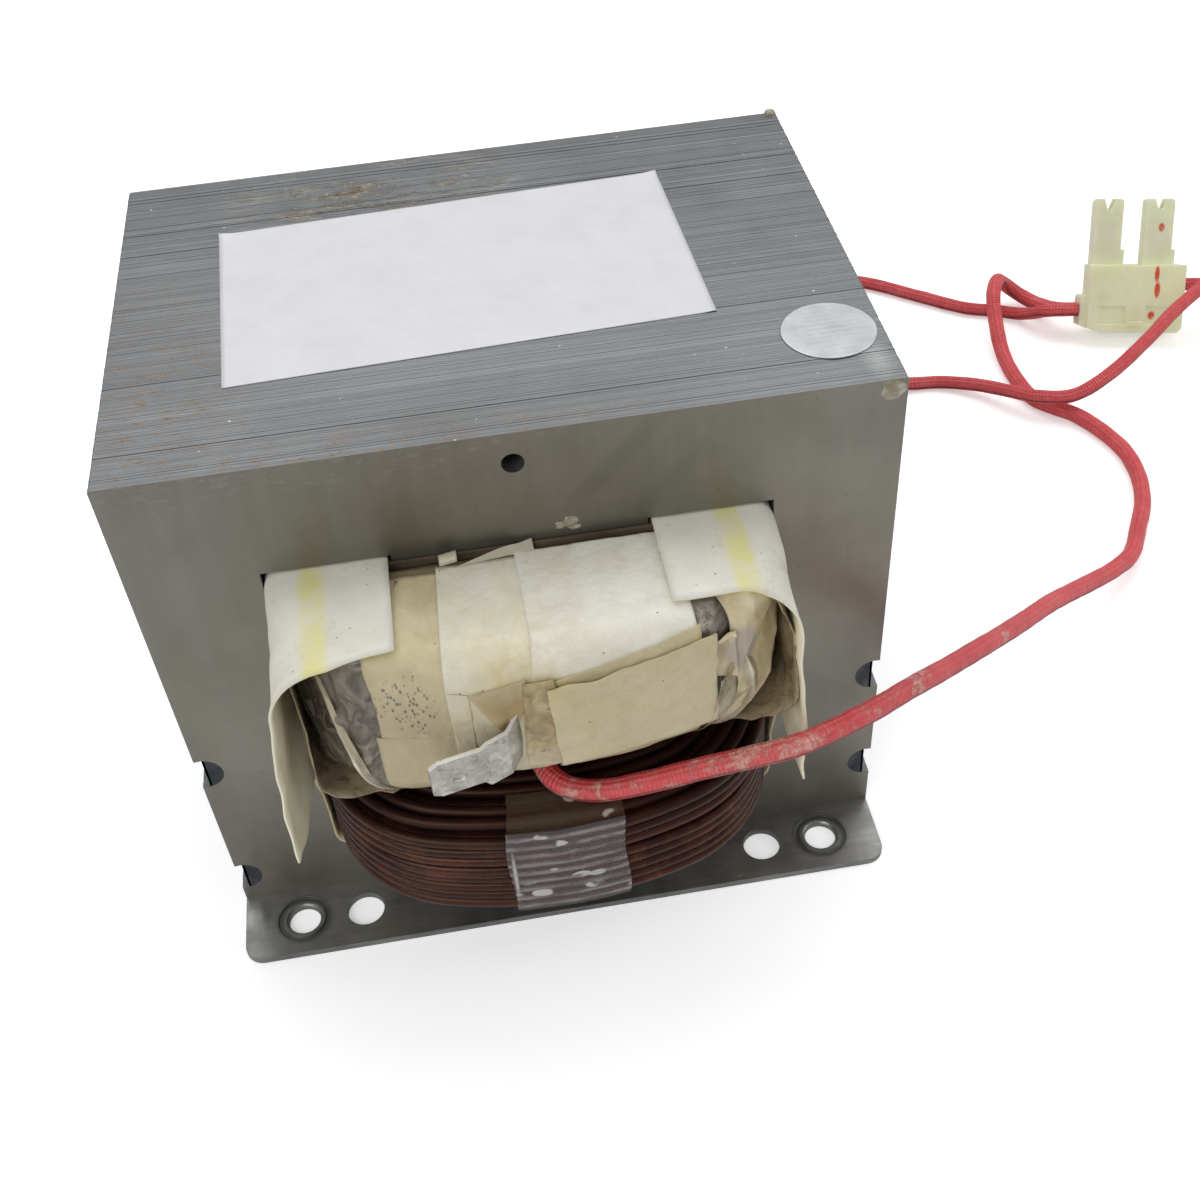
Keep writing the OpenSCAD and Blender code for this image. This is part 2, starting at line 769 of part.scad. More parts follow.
// Tin-plated receptacles inside the towers.
module connector_contacts() {
    g = 0.1;
    wall = 0.5;
    color([0.80, 0.78, 0.70]) at_connector() for (t = tower_x)
        translate([t + (tower_w - socket_w) / 2 + g, tower_y + (tower_d - socket_d) / 2 + g,
            conn_top - socket_deep + g]) difference() {
                cube([socket_w - 2 * g, socket_d - 2 * g, contact_h - 2]);
                translate([wall, wall, 1])
                    cube([socket_w - 2 * g - 2 * wall, socket_d - 2 * g - 2 * wall, contact_h]);
            }
}

// Plain white label.
module paper_label() {
    color([0.92, 0.92, 0.90]) translate([label_x, label_y, top_z]) rotate([0, 0, label_turn])
        translate([-label_w / 2, -label_d / 2, 0]) cube([label_w, label_d, paper_t]);
}

// Plain round silver sticker.
module round_sticker() {
    color([0.74, 0.75, 0.76]) translate([sticker_x, sticker_y, top_z])
        cylinder(d = sticker_d, h = paper_t);
}

base_plate();
i_laminations();
e_laminations();
weld(notch_up_left, -1);  // upper_weld_left
weld(notch_up_right, 1);  // upper_weld_right
weld(notch_low_left, -1);  // lower_weld_left
weld(notch_low_right, 1);  // lower_weld_right
leg_paper(primary_z, shunt_z - 0.2);  // primary_leg_paper
primary_winding();
primary_liner(-1);  // primary_liner_left
primary_liner(1);  // primary_liner_right
primary_tabs();
primary_tape();
shunt(-1);  // shunt_left
shunt(1);  // shunt_right
filament_winding();
leg_paper(filament_z, window_z - 0.95);  // secondary_leg_paper
secondary_winding();
secondary_wrap();
rear_wrap();
film(-1);  // film_left
film(1);  // film_right
stained_pad();
paper_patch();
front_tab();
brown_paper(-1);  // brown_paper_left
brown_paper(1);  // brown_paper_right
white_paper(-1);  // white_paper_left
white_paper(1);  // white_paper_right
lead(hv_route, hv_d);  // hv_lead
lead(lead_a_route, filament_d);  // filament_lead_a
lead(lead_b_route, filament_d);  // filament_lead_b
connector_housing();
connector_contacts();
paper_label();
round_sticker();
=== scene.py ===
"""Looks of the high-voltage transformer: camera and light, the leads, and then
every piece as it is built, from the base plate up to the label. Lengths are
millimetres, and are multiplied by MM where they reach Blender. The camera and the
lights are placed in metres."""

import math
from functools import partialmethod

import bmesh
import bpy
import numpy as np
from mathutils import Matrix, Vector
from mathutils.geometry import tessellate_polygon


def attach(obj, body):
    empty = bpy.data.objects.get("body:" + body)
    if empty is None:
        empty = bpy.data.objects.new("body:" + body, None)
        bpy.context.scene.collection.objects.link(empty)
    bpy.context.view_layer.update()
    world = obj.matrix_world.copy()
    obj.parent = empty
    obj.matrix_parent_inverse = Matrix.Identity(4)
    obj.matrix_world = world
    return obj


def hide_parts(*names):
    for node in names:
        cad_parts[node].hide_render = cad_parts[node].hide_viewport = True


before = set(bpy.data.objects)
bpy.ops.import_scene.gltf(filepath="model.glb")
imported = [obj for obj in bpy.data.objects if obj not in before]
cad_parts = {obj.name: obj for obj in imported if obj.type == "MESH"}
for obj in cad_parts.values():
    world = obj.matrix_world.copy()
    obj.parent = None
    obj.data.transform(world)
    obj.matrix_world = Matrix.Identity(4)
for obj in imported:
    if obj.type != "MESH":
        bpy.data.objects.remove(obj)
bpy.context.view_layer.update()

# Camera and light
# The camera was fitted to the corners of the core and the plate. The light is a
# wide soft box above and behind, with weaker ones from the front left and the right.
cam_data = bpy.data.cameras.new("camera")
cam_data.lens = 45.055
cam_data.sensor_width = 36.0
cam_data.shift_x = -0.0160
cam_data.shift_y = 0.0205
cam_data.clip_start = 0.01
camera = bpy.data.objects.new("camera", cam_data)
camera.location = (-0.00387, -0.18966, 0.20577)
camera.rotation_euler = [math.radians(a) for a in (44.722, 2.945, -9.122)]
bpy.context.scene.collection.objects.link(camera)
bpy.context.scene.camera = camera
bpy.context.scene.view_settings.view_transform = "Standard"


def area_light(name, place, target, size, power):
    """Rectangular soft box at place, turned to face target."""
    data = bpy.data.lights.new(name, "AREA")
    data.shape = "RECTANGLE"
    data.size, data.size_y = size
    data.energy = power
    lamp = bpy.data.objects.new(name, data)
    lamp.location = place
    way = np.array(target, float) - np.array(place, float)
    flat = math.hypot(way[0], way[1])
    lamp.rotation_euler = (math.atan2(flat, -way[2]), 0, math.atan2(-way[0], way[1]))
    bpy.context.scene.collection.objects.link(lamp)


area_light("top_box", (0.05, 0.28, 0.62), (0, 0, 0.05), (0.70, 0.50), 2.3)
area_light("front_box", (-0.35, -0.45, 0.45), (0, 0, 0.04), (0.45, 0.45), 1.6)
area_light("right_box", (0.60, -0.05, 0.40), (0.05, 0, 0.03), (0.35, 0.45), 0.9)

# Floor and background
# The background is plain white to the camera and a pale, cool grey to the part. The
# floor is a pale table that looks white too, with the soft shadow kept.
world = bpy.data.worlds.new("studio")
world.use_nodes = True
bpy.context.scene.world = world
w_nodes, w_links = world.node_tree.nodes, world.node_tree.links
w_paths = w_nodes.new("ShaderNodeLightPath")
w_white = w_nodes.new("ShaderNodeBackground")
w_white.inputs["Color"].default_value = (1, 1, 1, 1)
w_white.inputs["Strength"].default_value = 1.0
w_soft = w_nodes["Background"]
w_soft.inputs["Color"].default_value = (0.95, 0.97, 1.0, 1)
w_soft.inputs["Strength"].default_value = 0.36
w_mix = w_nodes.new("ShaderNodeMixShader")
w_links.new(w_paths.outputs["Is Camera Ray"], w_mix.inputs["Fac"])
w_links.new(w_soft.outputs[0], w_mix.inputs[1])
w_links.new(w_white.outputs[0], w_mix.inputs[2])
w_links.new(w_mix.outputs[0], w_nodes["World Output"].inputs["Surface"])


MM = 0.001
ROOT = "root"


def piece(name, points, faces, material, slot, replaces=(), smooth=True, **values):
    """Makes a mesh object from points in millimetres and lists of corner numbers.
    values are extra numbers kept for each point."""
    mesh = bpy.data.meshes.new(name)
    points = np.asarray(points, float).reshape(-1, 3) * MM
    mesh.from_pydata(points.tolist(), [], [list(map(int, f)) for f in faces])
    mesh.polygons.foreach_set("use_smooth", [smooth] * len(mesh.polygons))
    for key, value in values.items():
        layer = mesh.attributes.new(key, "FLOAT", "POINT")
        layer.data.foreach_set("value", np.asarray(value, np.float32).ravel())
    mesh.materials.append(material)
    mesh.update()
    obj = bpy.data.objects.new(name, mesh)
    bpy.context.scene.collection.objects.link(obj)
    if slot == "stage":
        return obj
    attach(obj, ROOT)
    if replaces:
        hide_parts(*replaces)
    return obj


class Shader:
    """Procedural material. Each call adds a node and returns its output, and
    self.mm is the object's own coordinates in millimetres."""

    def __init__(self, name, **sockets):
        self.mat = bpy.data.materials.new(name)
        self.mat.use_nodes = True
        self.tree = self.mat.node_tree
        self.bsdf = self.tree.nodes["Principled BSDF"]
        coord = self.node("ShaderNodeTexCoord", {})
        self.mm = self.scaled((1000, 1000, 1000), coord.outputs["Object"])
        for key, value in sockets.items():
            self.put(key.replace("_", " "), value)

    def node(self, kind, inputs, **settings):
        made = self.tree.nodes.new(kind)
        for key, value in settings.items():
            setattr(made, key, value)
        for socket, value in inputs.items():
            self.join(value, made.inputs[socket])
        return made

    def join(self, value, socket):
        if isinstance(value, bpy.types.NodeSocket):
            self.tree.links.new(value, socket)
        elif isinstance(value, tuple) and len(value) == 3 and socket.type == "RGBA":
            socket.default_value = (*value, 1)
        else:
            socket.default_value = value

    def put(self, socket, value):
        self.join(value, self.bsdf.inputs[socket])

    def colour(self, value):
        self.put("Base Color", value)

    def rough(self, value):
        self.put("Roughness", value)

    def scaled(self, scale, vector=None, turn=(0, 0, 0)):
        return self.node("ShaderNodeMapping", {"Vector": vector or self.mm, "Scale": scale,
                                               "Rotation": turn}).outputs[0]

    def noise(self, size, detail=3, rough=0.5, vector=None, bend=0.0):
        """Cloudy noise with features of about size millimetres."""
        return self.node("ShaderNodeTexNoise", {
            "Vector": vector or self.mm, "Scale": 1 / size, "Detail": detail,
            "Roughness": rough, "Distortion": bend}).outputs["Fac"]

    def cells(self, size, vector=None):
        """Distance to scattered points that lie about size millimetres apart."""
        return self.node("ShaderNodeTexVoronoi", {"Vector": vector or self.mm,
                                                  "Scale": 1 / size}).outputs["Distance"]

    def ramp(self, fac, *stops):
        """Colour or grey value for fac: stops are (place, colour)."""
        made = self.node("ShaderNodeValToRGB", {"Fac": fac})
        line = made.color_ramp.elements
        while len(line) < len(stops):
            line.new(0.5)
        for mark, (place, colour) in zip(line, stops):
            mark.position = place
            mark.color = (*(colour if isinstance(colour, tuple) else (colour,) * 3), 1)
        return made.outputs["Color"]

    def rise(self, fac, low, high, amount=1.0):
        """0 below low, growing to amount at high."""
        return self.ramp(fac, (low, 0.0), (high, amount))

    def fall(self, fac, low, high):
        return self.ramp(fac, (low, 1.0), (high, 0.0))

    def cloud(self, dark, light, *noise, **more):
        """Soft blotches of two colours or values, from noise(*noise, **more)."""
        return self.ramp(self.noise(*noise, **more), (0.3, dark), (0.7, light))

    def mix(self, fac, a, b):
        return self.node("ShaderNodeMix", {0: fac, 6: a, 7: b}, data_type="RGBA").outputs[2]

    def lay(self, under, over, fac, low, high, amount):
        """Lays a colour over another where fac rises from low to high."""
        return self.mix(self.rise(fac, low, high, amount), under, over)

    def calc(self, operation, a, b=0.0, clamp=False):
        return self.node("ShaderNodeMath", {0: a, 1: b}, operation=operation,
                         use_clamp=clamp).outputs[0]

    mul = partialmethod(calc, "MULTIPLY")
    add = partialmethod(calc, "ADD")
    sub = partialmethod(calc, "SUBTRACT")
    div = partialmethod(calc, "DIVIDE")
    top = partialmethod(calc, "MAXIMUM")

    def part(self, axis, vector=None):
        return self.node("ShaderNodeSeparateXYZ", {0: vector or self.mm}).outputs[axis]

    def value(self, name):
        """A number that the mesh keeps for each point."""
        return self.node("ShaderNodeAttribute", {}, attribute_name=name).outputs["Fac"]

    def spot(self, centre, size, soft=0.5, vector=None):
        """1 inside an ellipsoid about centre with half axes size, fading to 0."""
        place = vector or self.mm
        for operation, by in (("SUBTRACT", centre), ("MULTIPLY", tuple(1 / s for s in size))):
            place = self.node("ShaderNodeVectorMath", {0: place, 1: by},
                              operation=operation).outputs[0]
        made = self.node("ShaderNodeVectorMath", {0: place}, operation="LENGTH")
        return self.fall(made.outputs["Value"], 1 - soft, 1.0)

    def blot(self, under, over, amount, centre, size):
        """Lays a colour over another in a spot that fades almost from its centre."""
        return self.mix(self.mul(self.spot(centre, size, 0.9), amount), under, over)

    def bump(self, height, depth, normal=None):
        """Relief of depth millimetres; more than one is chained through normal."""
        inputs = {"Height": height, "Distance": depth * MM, "Strength": 1.0}
        if normal:
            inputs["Normal"] = normal
        made = self.node("ShaderNodeBump", inputs)
        self.put("Normal", made.outputs[0])
        return made.outputs[0]


table = Shader("table", Roughness=0.7)
table.colour((0.93, 0.93, 0.93))
# the camera sees the table brighter than the object does
paths = table.node("ShaderNodeLightPath", {})
table.put("Emission Color", (1.0, 1.0, 1.0))
table.put("Emission Strength", table.mul(paths.outputs["Is Camera Ray"], 0.42))
HALF_TABLE, TABLE_Z = 900, -0.02
piece("table", [(x * HALF_TABLE, y * HALF_TABLE, TABLE_Z)
                for x, y in ((-1, -1), (1, -1), (1, 1), (-1, 1))],
      [(0, 1, 2, 3)], table.mat, "stage", smooth=False)

# Leads
# Each red lead is a stranded wire in a braided glass sleeve soaked in red
# silicone. The high-voltage lead has flaking varnish near the coil.
HV_ROUTE = [
    (14, -42.7, 39.2), (5.3, -42.8, 39.2), (0.6, -44.8, 39.1), (-1.4, -49.5, 38.9),
    (0.6, -54.2, 38.6), (5.5, -56.6, 38.6), (12.7, -57.8, 40.2), (20.4, -58.5, 42.2),
    (27.8, -59.3, 44), (34.1, -59.4, 45.2), (40.7, -56.8, 44.5), (47.4, -52.2, 41.8),
    (54.4, -46.6, 38.5), (61.6, -40.6, 34.4), (68.9, -34.2, 30.1), (76.4, -27.6, 25.7),
    (83.9, -20.4, 20.7), (91.8, -13.1, 16.1), (98.8, -7.4, 12.2), (105.5, -2, 8.4),
    (112, 3, 5.4), (118.3, 8.6, 3.2), (123.5, 17, 2), (127.6, 24.5, 1.7),
    (130, 33, 1.7), (130, 42, 1.7), (125.5, 53.5, 1.7), (118.5, 61.5, 1.7),
    (117, 70.5, 1.7), (117.3, 80, 2.2), (118.2, 88, 5), (119.2, 93.5, 8),
    (121.5, 98, 8.6), (124.5, 100.8, 5.8), (128, 100.2, 3), (130.6, 96.8, 2.4),
    (131.4, 92.3, 4), (133.2, 88.3, 5.4), (137, 87.4, 5.4)]
LEAD_A_ROUTE = [
    (6, 53.1, 43.7), (12, 55, 43.6), (18, 59.5, 43), (24, 64, 41.8), (33, 68.5, 39),
    (44, 74.5, 34), (56, 85, 24.5), (67, 98.5, 14), (78, 111, 5.5), (88, 117.5, 1.6),
    (95.4, 115.1, 1.5), (105.7, 106.8, 1.5), (115.1, 99.2, 1.5), (122, 96.3, 1.5),
    (126, 93.6, 1.9), (128, 90.2, 3.9), (129.4, 87.2, 6.2), (132.4, 85.5, 7.1),
    (136.3, 84.6, 7.1)]
LEAD_B_ROUTE = [
    (22.1, 49.1, 43.7), (25, 54, 43.3), (29, 58.3, 42.6), (35, 61.5, 41),
    (44, 63.5, 36.5), (54, 65, 30.5), (65, 67.2, 22), (74.5, 70, 13.5), (83, 72.4, 6.5),
    (88.5, 73.4, 2.9), (93.8, 73.3, 1.6), (100.7, 72.4, 1.5), (107.7, 68.3, 2.5),
    (112.7, 62.8, 4), (117.2, 57.9, 5.3), (124.5, 55.8, 6), (132.6, 57.1, 9.5),
    (143.5, 63.8, 12.5), (150.2, 68.9, 14), (156, 72.8, 15), (162, 77, 15.6),
    (168, 82.5, 15.6), (173.5, 89.5, 15), (181, 91.5, 13.6), (187, 86, 12.4),
    (187.5, 79, 11.6), (182, 75, 11.2), (175, 76.5, 11.1), (168.5, 80.6, 11.2),
    (163.3, 82.3, 11.2), (159.45, 83.3, 11.2)]


def smooth_path(points, step):
    """Even points step apart on a smooth curve through the given ones: each
    stretch is a cubic whose end slopes are taken from the points on both sides."""
    p = np.asarray(points, float)
    reach = np.linalg.norm(np.diff(p, axis=0), axis=1)
    slope = np.vstack([p[1] - p[0], p[2:] - p[:-2], p[-1] - p[-2]])
    span = np.concatenate([[reach[0]], reach[1:] + reach[:-1], [reach[-1]]])
    slope = slope / span[:, None]
    t = np.linspace(0, 1, 24, endpoint=False)[None, :, None]
    a, b = p[:-1, None], p[1:, None]
    u, v = slope[:-1, None] * reach[:, None, None], slope[1:, None] * reach[:, None, None]
    curve = ((2 * t**3 - 3 * t**2 + 1) * a + (t**3 - 2 * t**2 + t) * u
             + (3 * t**2 - 2 * t**3) * b + (t**3 - t**2) * v).reshape(-1, 3)
    curve = np.vstack([curve, p[-1:]])
    along = np.concatenate([[0], np.cumsum(np.linalg.norm(np.diff(curve, axis=0), axis=1))])
    even = np.linspace(0, along[-1], int(along[-1] / step) + 1)
    return np.stack([np.interp(even, along, curve[:, k]) for k in range(3)], -1), even


def tube(path, radius, sides):
    """Points of a round tube on path, rings of sides points. radius may vary with
    the ring and with the angle. Also returns the angle of each point."""
    way = np.gradient(path, axis=0)
    way /= np.linalg.norm(way, axis=1, keepdims=True)
    side = np.cross(way, (0, 0, 1.0))
    side /= np.linalg.norm(side, axis=1, keepdims=True)
    up = np.cross(side, way)
    turn = np.linspace(0, 2 * np.pi, sides, endpoint=False)
    ring = (side[:, None] * np.cos(turn)[None, :, None]
            + up[:, None] * np.sin(turn)[None, :, None])
    size = np.broadcast_to(radius, (len(path), sides))[..., None]
    return path[:, None] + ring * size, turn


def sleeve_material(name, flakes=False, braid=True):
    """Red silicone braid: crossed threads in relief where braid is true, a pale
    bloom, and flakes of pinkish varnish where flakes is true."""
    m = Shader(name, Roughness=0.5)
    weave = m.noise(0.6, 2)
    if braid:
        along, turn = m.value("along"), m.value("turn")
        left = m.calc("SINE", m.add(m.mul(along, 5.2), m.mul(turn, 6.0)))
        right = m.calc("SINE", m.sub(m.mul(along, 5.2), m.mul(turn, 6.0)))
        weave = m.add(m.mul(left, right), weave)
    tone = m.ramp(m.noise(7, 4, 0.6), (0.3, (0.70, 0.070, 0.080)), (0.75, (0.88, 0.125, 0.130)))
    tone = m.mix(m.ramp(weave, (0.1, 0.22), (0.9, 0.0)), tone, (0.30, 0.02, 0.03))
    bloom = m.rise(m.noise(1.6, 5, 0.7), 0.50, 0.72, 0.35)
    tone = m.mix(bloom, tone, (0.72, 0.26, 0.26))
    if flakes:
        # varnish covers most of the sleeve near the coil and thins out along it
        place = m.div(along, 300.0)
        cover = m.ramp(place, (0.0, 0.48), (0.05, 0.44), (0.10, 0.40), (0.14, 0.38),
                       (0.19, 0.46), (0.22, 0.34), (0.27, 0.34), (0.285, 0.50), (0.30, 0.25),
                       (0.37, 0.25), (0.385, 0.47), (0.40, 0.10))
        patch = m.add(m.noise(3.4, 6, 0.70, bend=0.8), cover)
        patch = m.rise(patch, 0.90, 0.99, 0.75)
        crack = m.ramp(m.noise(1.0, 4, 0.7, bend=1.0), (0.44, 0.0), (0.50, 0.7), (0.56, 0.0))
        varnish = m.mix(crack, m.ramp(m.noise(1.3, 4), (0.35, (0.56, 0.17, 0.14)),
                                      (0.65, (0.72, 0.38, 0.30))), (0.84, 0.66, 0.56))
        tone = m.mix(patch, tone, varnish)
        m.rough(m.ramp(patch, (0.0, 0.45), (1.0, 0.30)))
        m.bump(patch, 0.10, m.bump(weave, 0.10))
    else:
        m.bump(weave, 0.14)
    m.colour(tone)
    return m.mat


def quads(nu, nv, wrap_u=False, wrap_v=False):
    """Corner numbers of the quads of an nu by nv grid of points, in order, joined
    round in a direction that wraps."""
    i, j = np.meshgrid(np.arange(nu if wrap_u else nu - 1),
                       np.arange(nv if wrap_v else nv - 1), indexing="ij")
    i2, j2 = (i + 1) % nu, (j + 1) % nv
    corners = (i * nv + j, i2 * nv + j, i2 * nv + j2, i * nv + j2)
    return np.stack(corners, -1).reshape(-1, 4)


def lead(name, route, radius, flakes=False):
    """Sleeved lead on a smooth curve through its route."""
    path, along = smooth_path(route, 0.9)
    sides = 16
    r = radius * (1 + 0.012 * np.sin(along * 1.1) + 0.01 * np.sin(along * 0.37))
    points, turn = tube(path, r[:, None], sides)
    n = len(path)
    faces = list(quads(n, sides, wrap_v=True))
    faces += [tuple(range(sides))[::-1], tuple(range((n - 1) * sides, n * sides))]
    faces = [f[::-1] for f in faces]
    obj = piece(name + "_sleeve", points, faces, sleeve_material(name, flakes), "red_sleeve",
                (name,), along=np.repeat(along, sides), turn=np.tile(turn, n))
    return obj


lead("hv_lead", HV_ROUTE, 1.65, flakes=True)
lead("filament_lead_a", LEAD_A_ROUTE, 1.45)
lead("filament_lead_b", LEAD_B_ROUTE, 1.45)

# Base plate
# Flat sheet steel with a dull satin skin, welded under the core. Punching left
# bright rims, and a pressed groove runs round each outer hole, painted dark as its shade.
def rounded(node, name, width, material):
    """Copy of a CAD node with its points merged and its edges bevelled by width
    millimetres, in place of the node."""
    made = bmesh.new()
    made.from_mesh(bpy.data.objects[node].data)
    bmesh.ops.remove_doubles(made, verts=made.verts, dist=0.001 * MM)
    bmesh.ops.dissolve_limit(made, angle_limit=0.002, verts=made.verts, edges=made.edges)
    mesh = bpy.data.meshes.new(name)
    made.to_mesh(mesh)
    made.free()
    mesh.polygons.foreach_set("use_smooth", [False] * len(mesh.polygons))
    mesh.materials.clear()
    mesh.materials.append(material)
    obj = bpy.data.objects.new(name, mesh)
    bpy.context.scene.collection.objects.link(obj)
    bevel = obj.modifiers.new("edge", "BEVEL")
    bevel.width = width * MM
    bevel.segments = 2
    bevel.limit_method = "ANGLE"
    bevel.angle_limit = math.radians(35)
    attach(obj, ROOT)
    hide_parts(node)
    return obj


def rust(m, tone, size, amount, where=None, vector=None):
    """Lays brown rust specks of about size millimetres over tone. amount is the
    share of the surface, and where limits it."""
    speck = m.ramp(m.noise(size, 5, 0.65, vector), (1 - amount, 0.0), (1 - amount * 0.8, 1.0))
    if where is not None:
        speck = m.mul(speck, where, clamp=True)
    return m.mix(speck, tone, m.ramp(m.noise(size / 3, 3), (0.35, (0.15, 0.085, 0.045)),
                                     (0.7, (0.34, 0.24, 0.14)))), speck


OUTER_HOLES = ((-43, -43.5), (43, -43.5), (-43, 43.5), (43, 43.5))
plate = Shader("plate_steel", Metallic=0.85, Roughness=0.4)
tone = plate.cloud((0.19, 0.19, 0.185), (0.33, 0.33, 0.32), 9, 5, 0.6)
grain = plate.noise(1, 3, 0.6, plate.scaled((0.05, 1.2, 1.2)))
tone = plate.lay(tone, (0.42, 0.41, 0.38), grain, 0.35, 0.75, 0.35)
for x, y in OUTER_HOLES:
    outer = plate.spot((x, y, 1.0), (4.9, 4.9, 9), 0.18)
    inner = plate.spot((x, y, 1.0), (3.7, 3.7, 9), 0.15)
    # dark ring over the pressed groove round each outer hole: painted shade
    groove_shade = plate.sub(outer, inner, clamp=True)
    tone = plate.mix(plate.mul(groove_shade, 0.5), tone, (0.035, 0.037, 0.04))
tone, speck = rust(plate, tone, 1.6, 0.34)
plate.colour(tone)
plate.rough(plate.cloud(0.30, 0.52, 5, 5, 0.7))
plate.put("Metallic", plate.ramp(speck, (0.0, 0.85), (1.0, 0.1)))
plate.bump(grain, 0.02, plate.bump(plate.noise(0.7, 4, 0.7), 0.03))
rounded("base_plate", "base_sheet", 0.16, plate.mat)

# Core
# Two stacks of half-millimetre steel leaves: straight strips below, and leaves
# with three legs above. They are pressed together and dipped in thin varnish.
CORE_X, CORE_Y, CORE_LOW, CORE_TOP = 52.5, 37.5, 1.2, 88.7
LEG_X, WINDOW_X, WINDOW_TOP = 17.5, 35.0, 71.2
SEAM_LEFT, SEAM_RIGHT, LIP_X, LIP_TOP = 16.5, 14.2, 50.0, 15.5
NOTCH_R, NOTCH_IN = 3.0, 0.8
NOTCHES = {"upper_left": (-1, 33.2), "upper_right": (1, 32.5),
           "lower_left": (-1, 7.0), "lower_right": (1, 11.4)}
YOKE_HOLE = (0.3, 83.8, 1.55)
LEAF = 0.5


def notch(key, rising):
    """Outline points of a half-round notch, from below or from above."""
    side, z = NOTCHES[key]
    half = math.acos(-NOTCH_IN / NOTCH_R)
    turn = np.linspace(-half, half, 11) * (1 if rising else -1)
    return [(side * (CORE_X - NOTCH_IN - NOTCH_R * math.cos(t)), z + NOTCH_R * math.sin(t))
            for t in turn]


def leaves(name, outline, hole, node, seed):
    """Stack of closed leaves. Each is the outline, moved and tinted a little."""
    r = np.random.default_rng(seed)
    rings = [[(x, z, 0.0) for x, z in outline]]
    if hole:
        turn = np.linspace(0, 2 * np.pi, 24, endpoint=False)
        rings.append([(hole[0] + hole[2] * math.cos(t), hole[1] + hole[2] * math.sin(t), 0.0)
                      for t in turn])
    flat = np.array([p for ring in rings for p in ring])[:, :2]
    face = tessellate_polygon([[Vector(p) for p in ring] for ring in rings])
    n = len(flat)
    edge, start = [], 0
    for ring in rings:
        k = np.arange(len(ring)) + start
        edge.append(np.stack([k, np.roll(k, -1), np.roll(k, -1) + n, k + n], -1))
        start += len(ring)
    edge = np.vstack(edge)
    count = int(round(2 * CORE_Y / LEAF))
    points, faces, shade = [], [], []
    for i in range(count):
        move = r.normal(size=2) * 0.014
        move[1] -= 0.07 * (r.uniform() < 0.07)
        if i in (0, count - 1):
            move *= 0
        y0 = -CORE_Y + i * LEAF
        y1 = y0 + LEAF * (0.93 if i < count - 1 else 1)
        for y in (y0, y1):
            points.append(np.stack([flat[:, 0] + move[0], np.full(n, y),
                                    flat[:, 1] + move[1]], -1))
        base = i * 2 * n
        faces += [tuple(q + base) for q in edge]
        faces += [tuple(c + base for c in f) for f in face]
        faces += [tuple(c + base + n for c in f[::-1]) for f in face]
        shade += [r.uniform()] * (2 * n)
    obj = piece(name, np.vstack(points), faces, core_steel.mat, "core_steel", (node,),
                smooth=False, leaf=shade)
    made = bmesh.new()
    made.from_mesh(obj.data)
    bmesh.ops.recalc_face_normals(made, faces=made.faces)
    made.to_mesh(obj.data)
    made.free()
    return obj


core_steel = m = Shader("core_steel")
front = m.calc("LESS_THAN", m.part(1), -CORE_Y + 0.05)
# rolled edges of the leaves: bluish, with thin streaks along each leaf
streak = m.noise(1, 4, 0.7, m.scaled((0.03, 2.2, 0.06)))
tone = m.ramp(m.value("leaf"), (0.0, (0.205, 0.213, 0.217)), (0.85, (0.245, 0.253, 0.257)),
              (1.0, (0.285, 0.293, 0.297)))
tone = m.lay(tone, (0.31, 0.32, 0.325), streak, 0.35, 0.7, 0.30)
tone = m.lay(tone, (0.17, 0.175, 0.18), m.noise(30, 3), 0.45, 0.7, 0.4)
# the top is darker along its front edge: painted shade
tone = m.blot(tone, (0.105, 0.108, 0.108), 0.38, (-6, -34, CORE_TOP), (48, 15, 6))
glint = m.fall(m.cells(3.1), 0.045, 0.07)
tone = m.mix(m.mul(glint, m.rise(m.noise(12, 2), 0.5, 0.6, 0.8)), tone, (0.75, 0.74, 0.70))
left_dirt = m.add(m.spot((-46, -20, CORE_TOP), (16, 34, 9), 0.8),
                  m.spot((-20, -37, CORE_TOP), (45, 7, 6), 0.8), clamp=True)
spread = m.scaled((0.40, 1.3, 1.0))
tone, rust_mark = rust(m, tone, 0.9, 0.46, left_dirt, spread)
tone, few = rust(m, tone, 0.7, 0.30, vector=spread)
# clear varnish that ran over the top and dried yellowish
smear = m.mul(m.rise(m.noise(3.2, 6, 0.72, m.scaled((0.35, 1.0, 1.0))), 0.50, 0.58),
              m.spot((-14, 27, CORE_TOP), (26, 13, 5), 0.9), clamp=True)
tone = m.mix(m.mul(smear, 0.85), tone, m.ramp(m.noise(1.8, 4), (0.38, (0.34, 0.25, 0.13)),
                                              (0.62, (0.58, 0.52, 0.40))))
tone = m.blot(tone, (0.46, 0.49, 0.46), 0.6, (49.6, -32.5, CORE_TOP), (2.4, 5.5, 2))
# face of the front leaf: warm and even, clouded and lightly scratched
cloud = m.noise(22, 5, 0.6)
face_tone = m.ramp(cloud, (0.30, (0.210, 0.197, 0.166)), (0.70, (0.282, 0.268, 0.228)))
# the face is darker at the top middle and at the upper left: painted shade
face_tone = m.blot(face_tone, (0.14, 0.124, 0.092), 0.52, (-4, -CORE_Y, 86), (48, 10, 22))
face_tone = m.blot(face_tone, (0.17, 0.16, 0.14), 0.55, (-50, -CORE_Y, 88), (45, 10, 34))
